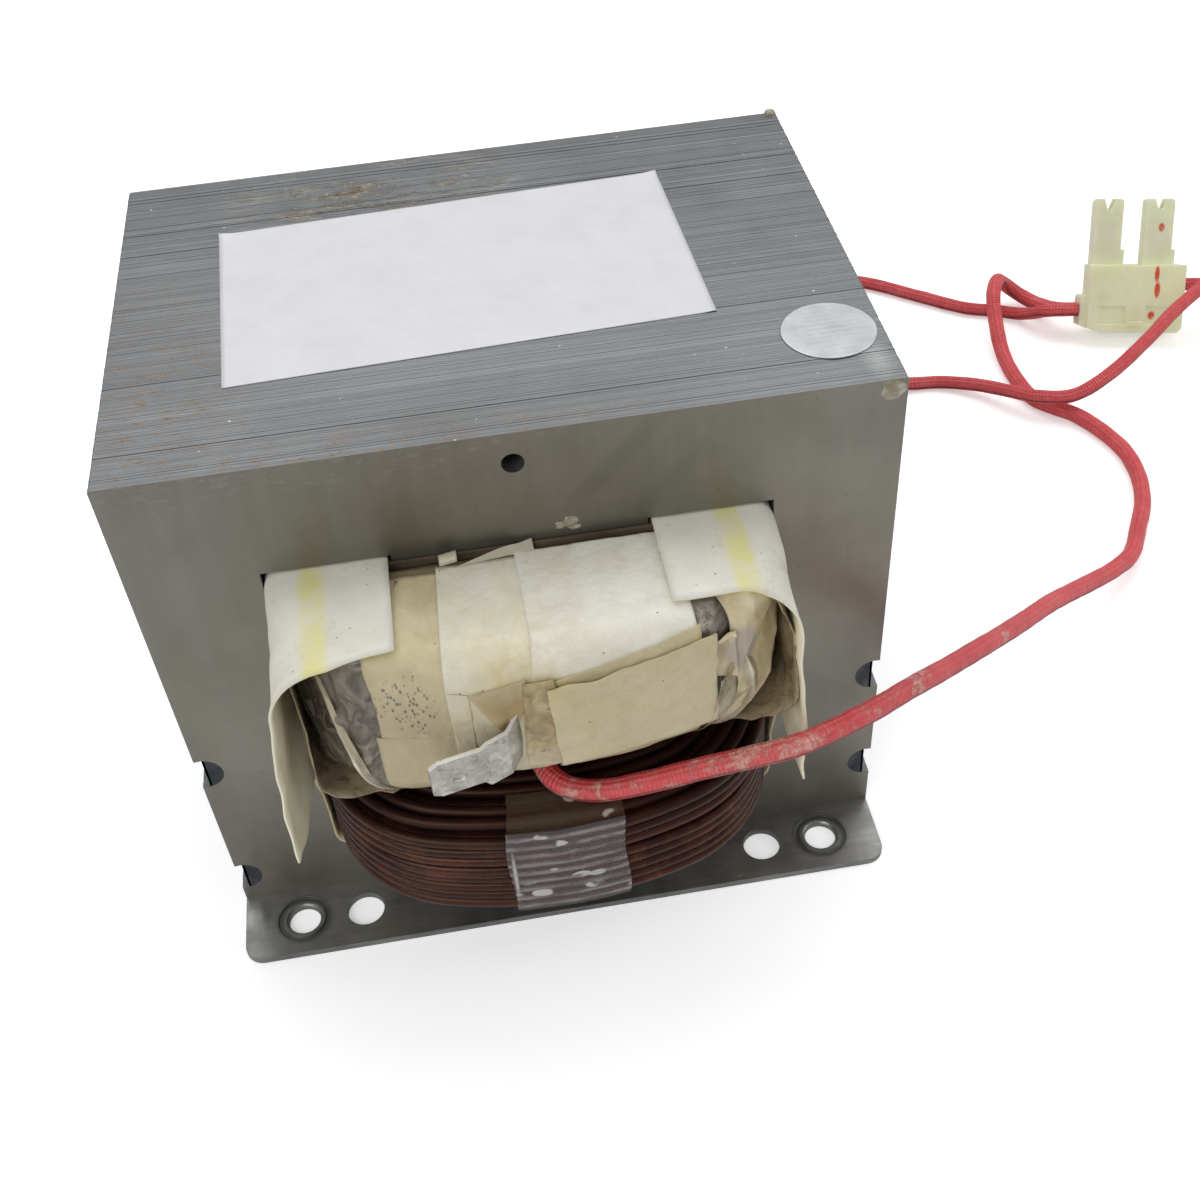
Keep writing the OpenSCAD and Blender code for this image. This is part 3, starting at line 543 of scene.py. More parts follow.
# wiped streaks to the right of the hole
slant = m.part(0, m.scaled((1, 1, 1), turn=(0, math.radians(-45), 0)))
slant = m.mul(m.rise(m.calc("SINE", m.mul(slant, 0.75)), 0.20, 0.90),
              m.spot((15, -CORE_Y, 81), (13, 9, 10), 0.6))
face_tone = m.mix(m.mul(slant, 0.32), face_tone, (0.13, 0.12, 0.10))
drip = m.noise(1, 4, 0.6, m.scaled((0.35, 1, 0.03)))
face_tone = m.lay(face_tone, (0.31, 0.30, 0.27), drip, 0.4, 0.75, 0.22)
scratch = m.noise(1, 2, 0.5, m.scaled((3.0, 1, 0.05), turn=(0, 0.5, 0)))
face_tone = m.lay(face_tone, (0.42, 0.41, 0.38), scratch, 0.72, 0.76, 0.18)
pit = m.fall(m.cells(2.4), 0.05, 0.11)
face_tone = m.mix(m.mul(pit, m.rise(m.noise(9, 2), 0.5, 0.6, 0.7)), face_tone, (0.16, 0.14, 0.11))
m.colour(m.mix(front, tone, face_tone))
m.put("Metallic", m.sub(0.8, m.top(rust_mark, few)))
rough = m.cloud(0.34, 0.50, 6, 5, 0.7)
rough = m.mix(smear, rough, (0.16, 0.16, 0.16))
m.rough(m.mix(front, rough, m.cloud(0.36, 0.50, 14, 5, 0.6)))
m.bump(smear, 0.25, m.bump(m.mix(front, streak, m.noise(0.8, 4, 0.6)), 0.03))

e_outline = [(-CORE_X, SEAM_LEFT), (-WINDOW_X, SEAM_LEFT), (-WINDOW_X, WINDOW_TOP),
             (-LEG_X, WINDOW_TOP), (-LEG_X, SEAM_LEFT), (0, SEAM_LEFT), (0, SEAM_RIGHT),
             (LEG_X, SEAM_RIGHT), (LEG_X, WINDOW_TOP), (WINDOW_X, WINDOW_TOP),
             (WINDOW_X, SEAM_RIGHT), (LIP_X, SEAM_RIGHT), (LIP_X, LIP_TOP), (CORE_X, LIP_TOP)]
e_outline += notch("upper_right", True) + [(CORE_X, CORE_TOP - 0.25), (CORE_X - 0.25, CORE_TOP),
                                           (-CORE_X + 0.25, CORE_TOP), (-CORE_X, CORE_TOP - 0.25)]
e_outline += notch("upper_left", False)
i_outline = [(-CORE_X, CORE_LOW), (CORE_X, CORE_LOW)] + notch("lower_right", True)
i_outline += [(CORE_X, LIP_TOP), (LIP_X, LIP_TOP), (LIP_X, SEAM_RIGHT), (0, SEAM_RIGHT),
              (0, SEAM_LEFT), (-CORE_X, SEAM_LEFT)] + notch("lower_left", False)
leaves("i_leaves", i_outline, None, "i_laminations", 5)
leaves("e_leaves", e_outline, YOKE_HOLE, "e_laminations", 6)

# Welds
# Four beads run along the notches and hold the leaves and the two stacks
# together. Heat left them blue and grey, with ripples along the bead.
m = Shader("weld_steel", Metallic=0.8)
blue = m.ramp(m.noise(4, 4, 0.6), (0.3, (0.030, 0.034, 0.042)), (0.6, (0.075, 0.082, 0.095)),
              (0.8, (0.14, 0.14, 0.14)))
blue, _ = rust(m, blue, 1.2, 0.36)
m.colour(blue)
m.rough(m.cloud(0.30, 0.62, 1.5, 5, 0.7))
m.bump(m.noise(0.6, 4, 0.7), 0.08)


def waves(points, size, seed, count=10):
    """Smooth random height for each point: a sum of sines with random directions
    and phases and wavelengths round size, about -1 to 1."""
    r = np.random.default_rng(seed)
    way = r.normal(size=(count, points.shape[-1]))
    way *= 2 * np.pi / size * r.uniform(0.6, 1.5, (count, 1)) / np.linalg.norm(
        way, axis=1, keepdims=True)
    return np.sin(points @ way.T + r.uniform(0, 2 * np.pi, count)).sum(-1) / count ** 0.5


RIPPLE = 1.7


def weld(key):
    """Bead whose outer face bulges and carries curved ripples, and whose inner face
    is the notch."""
    side, z = NOTCHES[key]
    y = np.linspace(-CORE_Y, CORE_Y, 220)[:, None]
    u = np.linspace(-1, 1, 13)[None, :]
    crest = np.abs(np.sin(np.pi * (y + 0.9 * u**2) / RIPPLE)) ** 0.6
    uneven = waves(np.stack(np.broadcast_arrays(y, u * 3), -1), 9, 31)
    x_out = CORE_X - 1.55 + 0.55 * (1 - u**2) + 0.16 * (crest - 0.6) + 0.1 * uneven
    turn = np.linspace(1.45, -1.45, 9)[None, :]
    x_in = CORE_X - NOTCH_IN - 0.99 * NOTCH_R * np.cos(turn) + 0 * y
    z_out, z_in = z + 2.9 * u + 0 * y, z + 0.99 * NOTCH_R * np.sin(turn) + 0 * y
    x = side * np.hstack([x_out, x_in])
    points = np.stack([x, np.broadcast_to(y, x.shape), np.hstack([z_out, z_in])], -1)
    n, k = x.shape
    faces = [tuple(f) for f in quads(n, k, wrap_v=True)]
    faces += [tuple(range(k))[::-1], tuple(range((n - 1) * k, n * k))]
    if side < 0:
        faces = [f[::-1] for f in faces]
    piece("weld_" + key, points, faces, m.mat, "weld_steel",
          (key.split("_")[0] + "_weld_" + key.split("_")[1],))


for key in NOTCHES:
    weld(key)

# Primary coil
# Thick enamelled copper wire wound round the centre leg in eight layers. Its
# turns are separate tubes, and varnish holds them together.
JOINT = math.atan2(24, 7)


def unit(value):
    """The value, held between 0 and 1."""
    return np.clip(value, 0, 1)


def ring(cx, cy, size, step):
    """Closed plan of a coil as base points and outward directions: straight sides,
    corner arcs about (cx, cy) and a flat arc at each end that meets them smoothly.
    A point at distance d is base plus d times direction."""
    k = cx / 7
    def arc(centre, r, a, b):
        t = np.linspace(a, b, max(3, int((r + size) * abs(b - a) / step)), endpoint=False)
        out = np.stack([np.cos(t), np.sin(t)], -1)
        return np.array(centre) + r * out, out
    side = np.linspace(-cy, cy, int(2 * cy / step), endpoint=False)
    half = [(np.stack([np.full(len(side), cx), side], -1), np.tile((1.0, 0.0), (len(side), 1))),
            arc((cx, cy), 0, 0, JOINT), arc((0, cy - 24 * k), 25 * k, JOINT, np.pi - JOINT),
            arc((-cx, cy), 0, np.pi - JOINT, np.pi)]
    base = np.vstack([h[0] for h in half])
    out = np.vstack([h[1] for h in half])
    return np.vstack([base, -base]), np.vstack([out, -out])


def closed_tube(path, radius, sides):
    """Round tube on a closed path, as points and faces."""
    wrapped = np.vstack([path[-1:], path, path[:1]])
    points, turn = tube(wrapped, radius, sides)
    points = points[1:-1]
    return points, [tuple(f[::-1]) for f in quads(len(path), sides, True, True)]


WIRE, WIRE_SIDES, ROWS, PITCH = 1.95, 12, 8, 1.99
PRIMARY_Z, PRIMARY_IN, PRIMARY_OUT, PRIMARY_TOP = 17.7, 18.5, 34.2, 36.05
PRIMARY_CX, PRIMARY_CY = 12.18, 36.52
# how far the top turn of each inner layer lies below the highest
DROPS = (0.2, 0.9, 0.0, 0.6, 1.3, 0.1, 0.7)

m = Shader("enamel", Specular_Tint=(1.0, 0.62, 0.45), Specular_IOR_Level=0.36)
shade = m.ramp(m.value("turn_tone"), (0.0, (0.024, 0.008, 0.008)), (1.0, (0.046, 0.015, 0.012)))
# lighter patches on the turns: painted highlight
shade = m.lay(shade, (0.13, 0.038, 0.018), m.noise(6, 5, 0.65), 0.50, 0.75, 0.6)
varnish = m.rise(m.noise(3.0, 5, 0.6), 0.64, 0.74, 0.35)
shade = m.mix(varnish, shade, (0.17, 0.075, 0.032))
# the top rows, under the other coil, lie in its shadow: they are painted near black as painted
# shade, and made rougher
high = m.rise(m.div(m.sub(m.part(2), 29.5), 5.5), 0.0, 1.0, 0.75)
m.colour(m.mix(high, shade, (0.010, 0.005, 0.005)))
dull = m.top(high, m.mul(m.spot((-16, -54, 20), (18, 16, 8), 0.9), 0.55))
rough = m.cloud(0.16, 0.31, 3, 5, 0.7)
m.rough(m.mix(dull, rough, (0.46, 0.46, 0.46)))
m.bump(m.noise(1.2, 4, 0.6), 0.05)
enamel = m.mat

base, out = ring(PRIMARY_CX, PRIMARY_CY, PRIMARY_OUT - PRIMARY_CX, 1.9)
rng = np.random.default_rng(12)
points, faces, tones = [], [], []
turns = [(PRIMARY_OUT - WIRE / 2, PRIMARY_Z + WIRE / 2 + i * PITCH + (0.25 if i > 4 else 0), 0.06)
         for i in range(ROWS)]
turns += [(PRIMARY_IN + WIRE / 2 + j * WIRE, PRIMARY_TOP - WIRE / 2 - DROPS[j], 0.12)
          for j in range(len(DROPS))]
turns += [(PRIMARY_IN + WIRE / 2 + j * WIRE, PRIMARY_TOP - WIRE * 1.45 - DROPS[j], 0.1)
          for j in range(len(DROPS))]
for number, (x, z, sway) in enumerate(turns):
    wave_seed = int(rng.integers(1000))
    plan = base + out * (x - PRIMARY_CX)
    lift = sway * waves(plan, 45, wave_seed, 5)
    if 4 < number < ROWS:
        # the upper rows stand a little off the rest on the right
        lift = lift + 0.75 * unit((plan[:, 0] + 2) / 22) * (plan[:, 1] < 0)
    plan = plan + out * (sway * 0.6 * waves(plan, 38, wave_seed + 1, 5))[:, None]
    path = np.column_stack([plan, z + lift])
    tube_points, tube_faces = closed_tube(path, WIRE / 2 - 0.04, WIRE_SIDES)
    start = sum(len(p) for p in points)
    points.append(tube_points.reshape(-1, 3))
    faces += [tuple(c + start for c in f) for f in tube_faces]
    tones += [rng.uniform()] * tube_points.shape[0] * WIRE_SIDES
piece("primary_turns", np.vstack(points), faces, enamel, "enamelled_wire",
      ("primary_winding",), turn_tone=tones)
# the inner layers, of which only the dark gaps between the outer turns show
inner = np.array([(18.6, PRIMARY_Z + 0.3), (32.9, PRIMARY_Z + 0.3), (33.1, PRIMARY_Z + 1.0),
                  (33.1, PRIMARY_TOP - 2.6), (32.5, PRIMARY_TOP - 2.4), (18.6, PRIMARY_TOP - 2.4)])
body = base[:, None] + out[:, None] * (inner[:, 0] - PRIMARY_CX)[None, :, None]
body = np.dstack([body, np.broadcast_to(inner[:, 1], body.shape[:2])])
piece("primary_core_turns", body, quads(len(base), len(inner), True, True), enamel,
      "enamelled_wire", smooth=False, turn_tone=np.zeros(body.shape[:2]))

# Clear tape on the primary
# One strip of clear film holds the end of the outer layer. Pale streaks along the
# crests of the turns under it are painted highlight, broken up by its folds, and small beads under
# it show pale.
m = Shader("clear_tape", Roughness=0.2, Coat_Weight=0.5)
ripple = m.noise(2.4, 5, 0.65, m.scaled((0.5, 0.5, 1.2)))
# pale where the film lies on the crests of the turns: painted highlight
touch = m.mul(m.value("touch"), m.ramp(ripple, (0.38, 0.25), (0.55, 1.0)))
bead = m.fall(m.cells(4.2, m.scaled((0.8, 0.8, 1.7))), 0.27, 0.34)
glue = m.mul(bead, m.rise(m.noise(6, 2), 0.46, 0.52))
strip = m.mul(m.spot((-7.6, -58.6, 26), (0.45, 4, 8), 0.6), 0.9)
glue_and_sheen = m.top(m.mul(touch, 0.45), m.top(glue, strip))
below = m.mix(m.value("upper"), (0.24, 0.20, 0.19), (0.20, 0.15, 0.09))
m.colour(m.mix(glue_and_sheen, below, (0.62, 0.60, 0.56)))
m.put("Alpha", m.ramp(glue_and_sheen, (0.0, 0.30), (0.7, 0.82)))
m.bump(glue_and_sheen, 0.10, m.bump(m.noise(1.4, 4), 0.08))


def end_plan(angle, r, cx, cy):
    """Points at angle (from -Y towards +X, radians) on the front end of a coil
    whose outer corner radius is r: corner arcs with the flat arc between."""
    k = cx / 7
    limit = math.pi / 2 - JOINT
    out = np.stack([np.sin(angle), -np.cos(angle)], -1)
    flat = np.array((0, -(cy - 24 * k))) + 25 * k * out
    corner = np.stack([np.where(angle > 0, cx, -cx), np.full(np.shape(angle), -cy)], -1)
    base = np.where((np.abs(angle) < limit)[..., None], flat, corner)
    return base + r[..., None] * out


TAPE_LENGTH, TAPE_OVER_TOP = 25.5, 7.0
v = np.linspace(0, 1, 66)[None, :]
angle = np.radians(np.linspace(-7.2, 7.8, 40))[:, None] + 0.004 * np.sin(v * 9)
drop = v * TAPE_LENGTH
reach = PRIMARY_OUT - PRIMARY_CX
over = np.clip(TAPE_OVER_TOP - drop, 0, None)
down = np.clip(drop - TAPE_OVER_TOP, 0, None)
valley = 0.20 * np.cos(2 * np.pi * (down - 1.2) / PITCH) * (down > 0.6)
r = reach + 0.24 - over - 0.35 * np.exp(-down / 0.8) * (over == 0) + valley * 0.6
z = np.where(over > 0, PRIMARY_TOP + 0.14 - 0.25 * np.sin(over * 1.6), PRIMARY_TOP + 0.10 - down)
flat = end_plan(angle + 0 * v, r + 0 * angle, PRIMARY_CX, PRIMARY_CY)
grid = np.dstack([flat, z + 0 * angle])
grid[..., 2] += 0.06 * waves(grid, 6, 3)
near_wire = unit(0.5 + 0.9 * np.cos(2 * np.pi * (z - PRIMARY_Z - 0.98) / PITCH))
# where the film lies on the crests of the turns, for the painted highlight
touching = (down > 0.4) * near_wire + 0 * angle
piece("primary_clear_tape", grid, quads(*grid.shape[:2]), m.mat, "clear_film", ("primary_tape",),
      touch=touching, upper=(down < 0.4) + 0 * angle)

# Window papers of the primary and the hidden parts between the coils
# Brown and cream papers keep the coils off the core. The shunts and the three
# turns of the filament winding sit between the coils.
def paper(name, light, dark, rough=0.7, fibre=0.05, stain=None):
    """Insulating paper: soft blotches from light to dark, fibres, faint creases and
    stains of a colour where stain names it."""
    m = Shader(name, Roughness=rough)
    tone = m.cloud(dark, light, 8, 5, 0.65)
    fibres = m.noise(0.7, 4, 0.75, m.scaled((0.6, 1.6, 0.9)))
    tone = m.lay(tone, dark, fibres, 0.55, 0.8, 0.35)
    if stain:
        tone = m.lay(tone, stain, m.noise(6, 6, 0.72, bend=1.0), 0.50, 0.60, 0.75)
    m.colour(tone)
    m.rough(m.cloud(rough - 0.12, rough + 0.08, 5, 4))
    m.bump(m.noise(3.5, 5, 0.6), 0.12, m.bump(fibres, fibre))
    return m, tone


def dress(material, *nodes):
    """Gives CAD nodes that keep their shape a material."""
    for node in nodes:
        mesh = bpy.data.objects[node].data
        mesh.materials.clear()
        mesh.materials.append(material)


cream, _ = paper("cream_paper", (0.62, 0.54, 0.35), (0.47, 0.38, 0.22))
brown, _ = paper("brown_paper", (0.46, 0.38, 0.24), (0.24, 0.18, 0.10), stain=(0.11, 0.07, 0.035))
dress(cream.mat, "rear_wrap")
# the leg papers, deep between the coils and the core, are painted near black: painted shade
dark, _ = paper("leg_paper_in_shade", (0.15, 0.11, 0.065), (0.06, 0.042, 0.025))
dress(dark.mat, "primary_leg_paper", "secondary_leg_paper")
dress(core_steel.mat, "shunt_left", "shunt_right")
dress(sleeve_material("filament_sleeve", braid=False), "filament_winding")

tin = Shader("tinned_brass", Metallic=0.95)
frost = tin.noise(2.2, 6, 0.62, bend=0.6)
tone = tin.ramp(frost, (0.36, (0.40, 0.39, 0.35)), (0.52, (0.52, 0.51, 0.46)),
                (0.66, (0.68, 0.67, 0.62)))
stain = tin.ramp(tin.noise(1.6, 6, 0.75, bend=1.5), (0.585, 0.0), (0.60, 0.85), (0.64, 0.1))
tone = tin.mix(stain, tone, (0.13, 0.115, 0.09))
# the shear-cut top edge of the front tab, where its faces point up, is painted bright and dull:
# bare metal and a painted highlight
sheared_edge_sheen = tin.node("ShaderNodeNewGeometry", {}).outputs["Normal"]
sheared_edge_sheen = tin.mul(tin.rise(tin.part(2, sheared_edge_sheen), 0.45, 0.70),
                  tin.spot((-9, -61, 55), (15, 10, 12), 0.1))
sheared_edge_sheen = tin.mul(sheared_edge_sheen, tin.ramp(frost, (0.36, 0.6), (0.44, 1.0)))
tin.colour(tin.mix(sheared_edge_sheen, tone, (0.90, 0.88, 0.82)))
tin.put("Metallic", tin.ramp(sheared_edge_sheen, (0.0, 0.95), (1.0, 0.25)))
tin.rough(tin.cloud(0.25, 0.48, 1.4, 5, 0.7))
tin.bump(frost, 0.035, tin.bump(tin.noise(0.35, 4, 0.65), 0.02))
rounded("primary_tabs", "primary_blades", 0.15, tin.mat)

# Secondary coil
# Hundreds of turns of fine enamelled wire, soaked in varnish. Its ends are
# padded out with paper and wound with tape.
m = Shader("fine_wire", Coat_Weight=0.3, Coat_Roughness=0.2)
strands = m.noise(1, 3, 0.7, m.scaled((0.12, 0.12, 3.2)))
tone = m.cloud((0.030, 0.014, 0.016), (0.075, 0.036, 0.034), 7, 4, 0.6)
m.colour(m.lay(tone, (0.13, 0.07, 0.055), strands, 0.35, 0.7, 0.6))
m.rough(m.cloud(0.25, 0.5, 3, 4))
m.bump(strands, 0.10)
dress(m.mat, "secondary_winding")

# Front end of the secondary: tape, film, pad, card patch and tab
# Paper tape is wound round the padded end in several turns. Clear film covers
# the corners beside it, over the dark wire.
COIL_CX, COIL_CY, COIL_R = 15.4, 38.64, 18.1
COIL_Z, COIL_H, COIL_W, COIL_BACK = 46.4, 23.0, 14.9, 39.1
COIL_ROUND = 4.5
LINER_X, LINER_TOP, LINER_LOW = 34.9, 70.8, 37.2
TAB_X, TAB_Z = -4.1, 57
ARC_Y, ARC_R = COIL_CY - 24 * COIL_CX / 7, COIL_R + 25 * COIL_CX / 7


def section(p, depth, lift):
    """Distance behind the outer face and height, at place p on the outline of the
    bundle: 0 to 1 forward over the top, to 2 round the upper corner, to 3 down the
    front, to 4 round the lower corner, to 5 back below. lift moves it outwards."""
    c, h = COIL_ROUND, COIL_H
    upper = unit(p - 1) * np.pi / 2
    lower = unit(p - 3) * np.pi / 2
    run = depth - c
    d = c + (1 - unit(p)) * run - (c + lift) * np.sin(upper)
    d = np.where(p > 3, c - (c + lift) * np.cos(lower) + unit(p - 4) * run, d)
    z = np.where(p < 3, h - c + (c + lift) * np.cos(upper) - unit(p - 2) * (h - 2 * c),
                 c - (c + lift) * np.sin(lower))
    return d, COIL_Z + z


def sag(x, p):
    """How far the padding has slumped: up to 3.4 mm low down at the left."""
    t = unit((-4 - x) / 16)
    return 3.4 * t * t * (3 - 2 * t) * unit(p - 2)


def front_point(x, p, lift):
    """Point lift millimetres off the front end of the coil, in the slice at x."""
    x, p, lift = np.broadcast_arrays(x, p, lift)
    beyond = np.abs(x) > 0.28 * ARC_R
    corner = np.clip(COIL_R**2 - (np.abs(x) - COIL_CX)**2, 0.5, None)
    face = np.where(beyond, -COIL_CY - np.sqrt(corner), -ARC_Y - np.sqrt(ARC_R**2 - x**2))
    d, z = section(p, -COIL_BACK - face, lift)
    return np.dstack([x, face + d, z - sag(x, p)])


def corner_point(degrees, p, lift):
    """The same for a slice that stands square to the coil at an angle from -Y."""
    degrees, p, lift = np.broadcast_arrays(degrees, p, lift)
    d, z = section(p, COIL_W, lift)
    plan = end_plan(np.radians(degrees), COIL_R - d, COIL_CX, COIL_CY)
    return np.dstack([plan, z - sag(plan[..., 0], p)])


def arc_point(x, p, lift):
    """Like front_point, for card too stiff to follow the corner at the right."""
    x, p, lift = np.broadcast_arrays(x, p, lift)
    face = -ARC_Y - np.sqrt(ARC_R**2 - x**2)
    d, z = section(p, -COIL_BACK - face, lift)
    return np.dstack([x, face + d, z])


def band(name, left, right, start, stop, lift, material, slot="cream_paper", replaces=(),
         place=front_point, nu=44, nv=110, thick=0.07, crumple=0.0, seed=1):
    """Strip of tape or film on the bundle. left and right give its edges at place p,
    start and stop its ends at u across it, and lift its height over the wire. crumple
    is the height of its sharp folds. The papers round it press it flat."""
    v = np.linspace(0, 1, nv)[None, :]
    u = np.linspace(0, 1, nu)[:, None]
    p = at(start, u) + (at(stop, u) - at(start, u)) * v + 0 * u
    across = at(left, p) + u * (at(right, p) - at(left, p))
    flat = place(across, p, 0.5)
    fold = 1 - 1.3 * np.abs(waves(flat, 15, seed, 6))
    high = at(lift, u, p) + crumple * unit(fold) * unit(u / 0.12)
    high = np.clip(high + 0.03 * waves(flat, 2.2, seed), 0.12, None)
    room = 0.75 + 14 * np.clip(np.minimum(p - 0.95, 4.4 - p), 0, None) ** 2
    if place is corner_point:
        angle = np.radians(np.abs(across) + 0 * p)
        room = np.minimum(room, (LINER_X - 0.6 - COIL_CX) / np.sin(angle) - COIL_R)
    else:
        high = high + 0.08 * waves(flat, 7, 4)
        room = room + 9 * unit(17.5 - np.abs(across))
        # the tape sinks in where the tab comes out
        off = np.hypot((flat[..., 0] - TAB_X) / 1.8, (flat[..., 2] - TAB_Z) / 5.5)
        high = high * (1 - 0.7 * np.exp(-off ** 4))
    fold = (high - high.min()) / np.ptp(high)
    high = (high ** -4 + room ** -4) ** -0.25
    obj = piece(name, place(across, p, high), quads(nu, nv), material, slot, replaces,
                fold=fold)
    thicken(obj, thick)


def edge(*stops):
    """Line through (place, value) stops, straight between them."""
    places, values = zip(*stops)
    return lambda p: np.interp(p, places, values)


def thicken(obj, depth):
    """Gives a sheet a thickness of depth millimetres."""
    solid = obj.modifiers.new("thickness", "SOLIDIFY")
    solid.thickness = depth * MM
    solid.offset = -1


def at(rule, *place):
    """What a rule gives at a place. It may be a plain number."""
    return rule(*place) if callable(rule) else rule


def ridge(t, centre, width, height):
    """Smooth bump of a height about centre."""
    return height * np.exp(-((t - centre) / width) ** 2)


def tape_material(name, light, dark, coat, specks=None, grime=0.3, low=None):
    """Varnish-soaked paper tape: cloudy, creased, with grime, a few dark specks
    round a place where specks names it, and the colour low down the front."""
    m = Shader(name, Coat_Weight=coat, Coat_Roughness=0.2)
    tone = m.ramp(m.noise(9, 5, 0.6), (0.3, dark), (0.68, light))
    if low:
        fall = m.add(m.div(m.sub(68.5, m.part(2)), 7.0), m.sub(m.noise(6, 4, 0.6), 0.5))
        tone = m.lay(tone, low, fall, 0.0, 1.0, 0.85)
    crease = m.noise(3.4, 6, 0.72, bend=1.2)
    # dark lines along the creases: painted shade
    tone = m.mix(m.ramp(crease, (0.50, 0.0), (0.54, 0.25), (0.58, 0.0)), tone, dark)
    tone = m.lay(tone, light, m.noise(1.0, 3, 0.7, m.scaled((1, 1, 0.3))), 0.5, 0.8, 0.25)
    # varnish has run out round the tab and dried amber
    run = m.mul(m.spot((-3.0, -59, 66), (9, 12, 8), 1.0),
                m.ramp(m.noise(4, 5, 0.65, bend=1.0), (0.36, 0.25), (0.62, 1.0)))
    tone = m.mix(run, tone, (0.64, 0.52, 0.22))
    dirty = m.ramp(m.noise(4.5, 6, 0.75), (0.56, 0.0), (0.72, grime))
    tone = m.mix(dirty, tone, (0.16, 0.13, 0.08))
    dust = m.ramp(m.cells(3.3), (0.030, 0.8), (0.055, 0.0))
    tone = m.mix(dust, tone, (0.10, 0.09, 0.06))
    if specks:
        dots = m.fall(m.cells(0.85, m.scaled((1.5, 1, 0.8), turn=(0, 0.6, 0))), 0.24, 0.40)
        near = m.rise(m.mul(m.spot(*specks), m.noise(2.0, 3)), 0.16, 0.30, 0.8)
        tone = m.mix(m.mul(dots, near), tone, (0.10, 0.095, 0.08))
    m.colour(tone)
    m.rough(m.cloud(0.40, 0.66, 4, 4))
    m.bump(crease, 0.30, m.bump(m.noise(1.3, 4, 0.6), 0.08))
    return m.mat


tan = tape_material("tan_tape", (0.71, 0.64, 0.42), (0.52, 0.43, 0.24), 0.2,
                    ((-18.2, -58, 62.0), (6.5, 8, 8), 0.8), low=(0.47, 0.39, 0.235))
pale = tape_material("pale_tape", (0.86, 0.83, 0.71), (0.70, 0.64, 0.45), 0.35, grime=0.18,
                     low=(0.55, 0.475, 0.30))
bright = tape_material("bright_tape", (0.92, 0.91, 0.85), (0.76, 0.71, 0.56), 0.35, grime=0.12,
                       low=(0.66, 0.59, 0.40))
# the base tape, seen only in gaps in the shade by the core, is painted dark: painted shade
dull = tape_material("tape_in_shade", (0.30, 0.24, 0.14), (0.16, 0.12, 0.06), 0.2)

band("tape_base", -22, 20.4, 0.0, 5.0, 0.30, dull, replaces=("secondary_wrap",), seed=4, nu=70)
band("tape_left", edge((0, -22.2), (1.6, -22.6), (2.2, -21.9), (3.2, -22.3), (5, -22)),
     -10.5, 0.12, 4.9, 0.42, tan, seed=8)
band("tape_left_end", edge((2.3, -22.7), (3.6, -22.9)), -11.6,
     lambda u: 2.52 - 0.02 * u, 3.7, lambda u, p: 0.53 - 0.08 * np.sqrt(u), tan,
     seed=10, nu=24, nv=50)
band("tape_middle", edge((0, -11.8), (1, -12.3), (2, -12.6), (3, -12.0), (5, -12)),
     0.5, 0.06, 4.9, lambda u, p: 0.52 + ridge(u, 0.0, 0.05, 0.08), pale, seed=12)
band("tape_right", edge((0, -1.2), (1.2, -1.0), (2, -1.6), (3, -1.2), (5, -1)),
     edge((0, 18.4), (1, 20.2), (2, 20.9), (5, 20.5)), 0.0, 2.1, 0.58, bright, seed=16)
band("tape_low_right", edge((1.3, 0.5), (3.6, 1.0)), edge((1.3, 21.2), (3.6, 20.6)),
     lambda u: 1.93 - 0.33 * u ** 0.8, 3.6,
     lambda u, p: 0.76 + ridge(p, 1.93 - 0.33 * u ** 0.8, 0.04, 0.08), tan, seed=18, nv=60)
m = Shader("amber_film", Roughness=0.3, Coat_Weight=0.6, Coat_Roughness=0.12)
flow = m.noise(4.0, 5, 0.65, bend=1.0)
near_tab = m.spot((-4.5, -59, 61), (6.5, 9, 6.5), 1.0)
m.colour(m.ramp(m.sub(m.add(near_tab, flow), 0.5), (0.2, (0.62, 0.51, 0.30)),
                (0.8, (0.42, 0.28, 0.10))))
m.put("Alpha", m.ramp(m.mul(near_tab, m.add(flow, 0.5)), (0.0, 0.50), (1.0, 0.88)))
m.bump(flow, 0.25)
amber = m.mat
band("tape_fold", edge((1.7, -9.7), (2.03, -9.7), (2.6, -5.6)),
     edge((1.7, -2.2), (2.2, -2.6), (2.6, -4.3)), lambda u: 2.03 - 0.24 * u, 2.62,
     lambda u, p: 0.88 + ridge(u, 0.0, 0.05, 0.12) + 0.25 * u**3 * unit(p - 2), amber,
     "clear_film", seed=19, nu=40, nv=40, thick=0.06)
band("tape_tuck", edge((1.9, -12.6), (3.1, -12.3)), edge((1.9, -9.7), (3.1, -9.9)),
     lambda u: 1.96 + 0.06 * u, 3.05, lambda u, p: 0.66 + ridge(p, 2.30, 0.04, 0.12), pale,
     "cream_paper", seed=23, nu=24, nv=50, thick=0.03)

# film over the corners: clear on the left, over folded cream paper on the right
m = Shader("corner_film", Roughness=0.2, Coat_Weight=0.7, Coat_Roughness=0.08)
swirl = m.noise(8.0, 4, 0.55, m.scaled((1.0, 1.0, 0.6)), bend=2.0)
wisp = m.ramp(swirl, (0.44, 0.0), (0.475, 0.42), (0.53, 0.22), (0.565, 0.05), (0.64, 0.55))
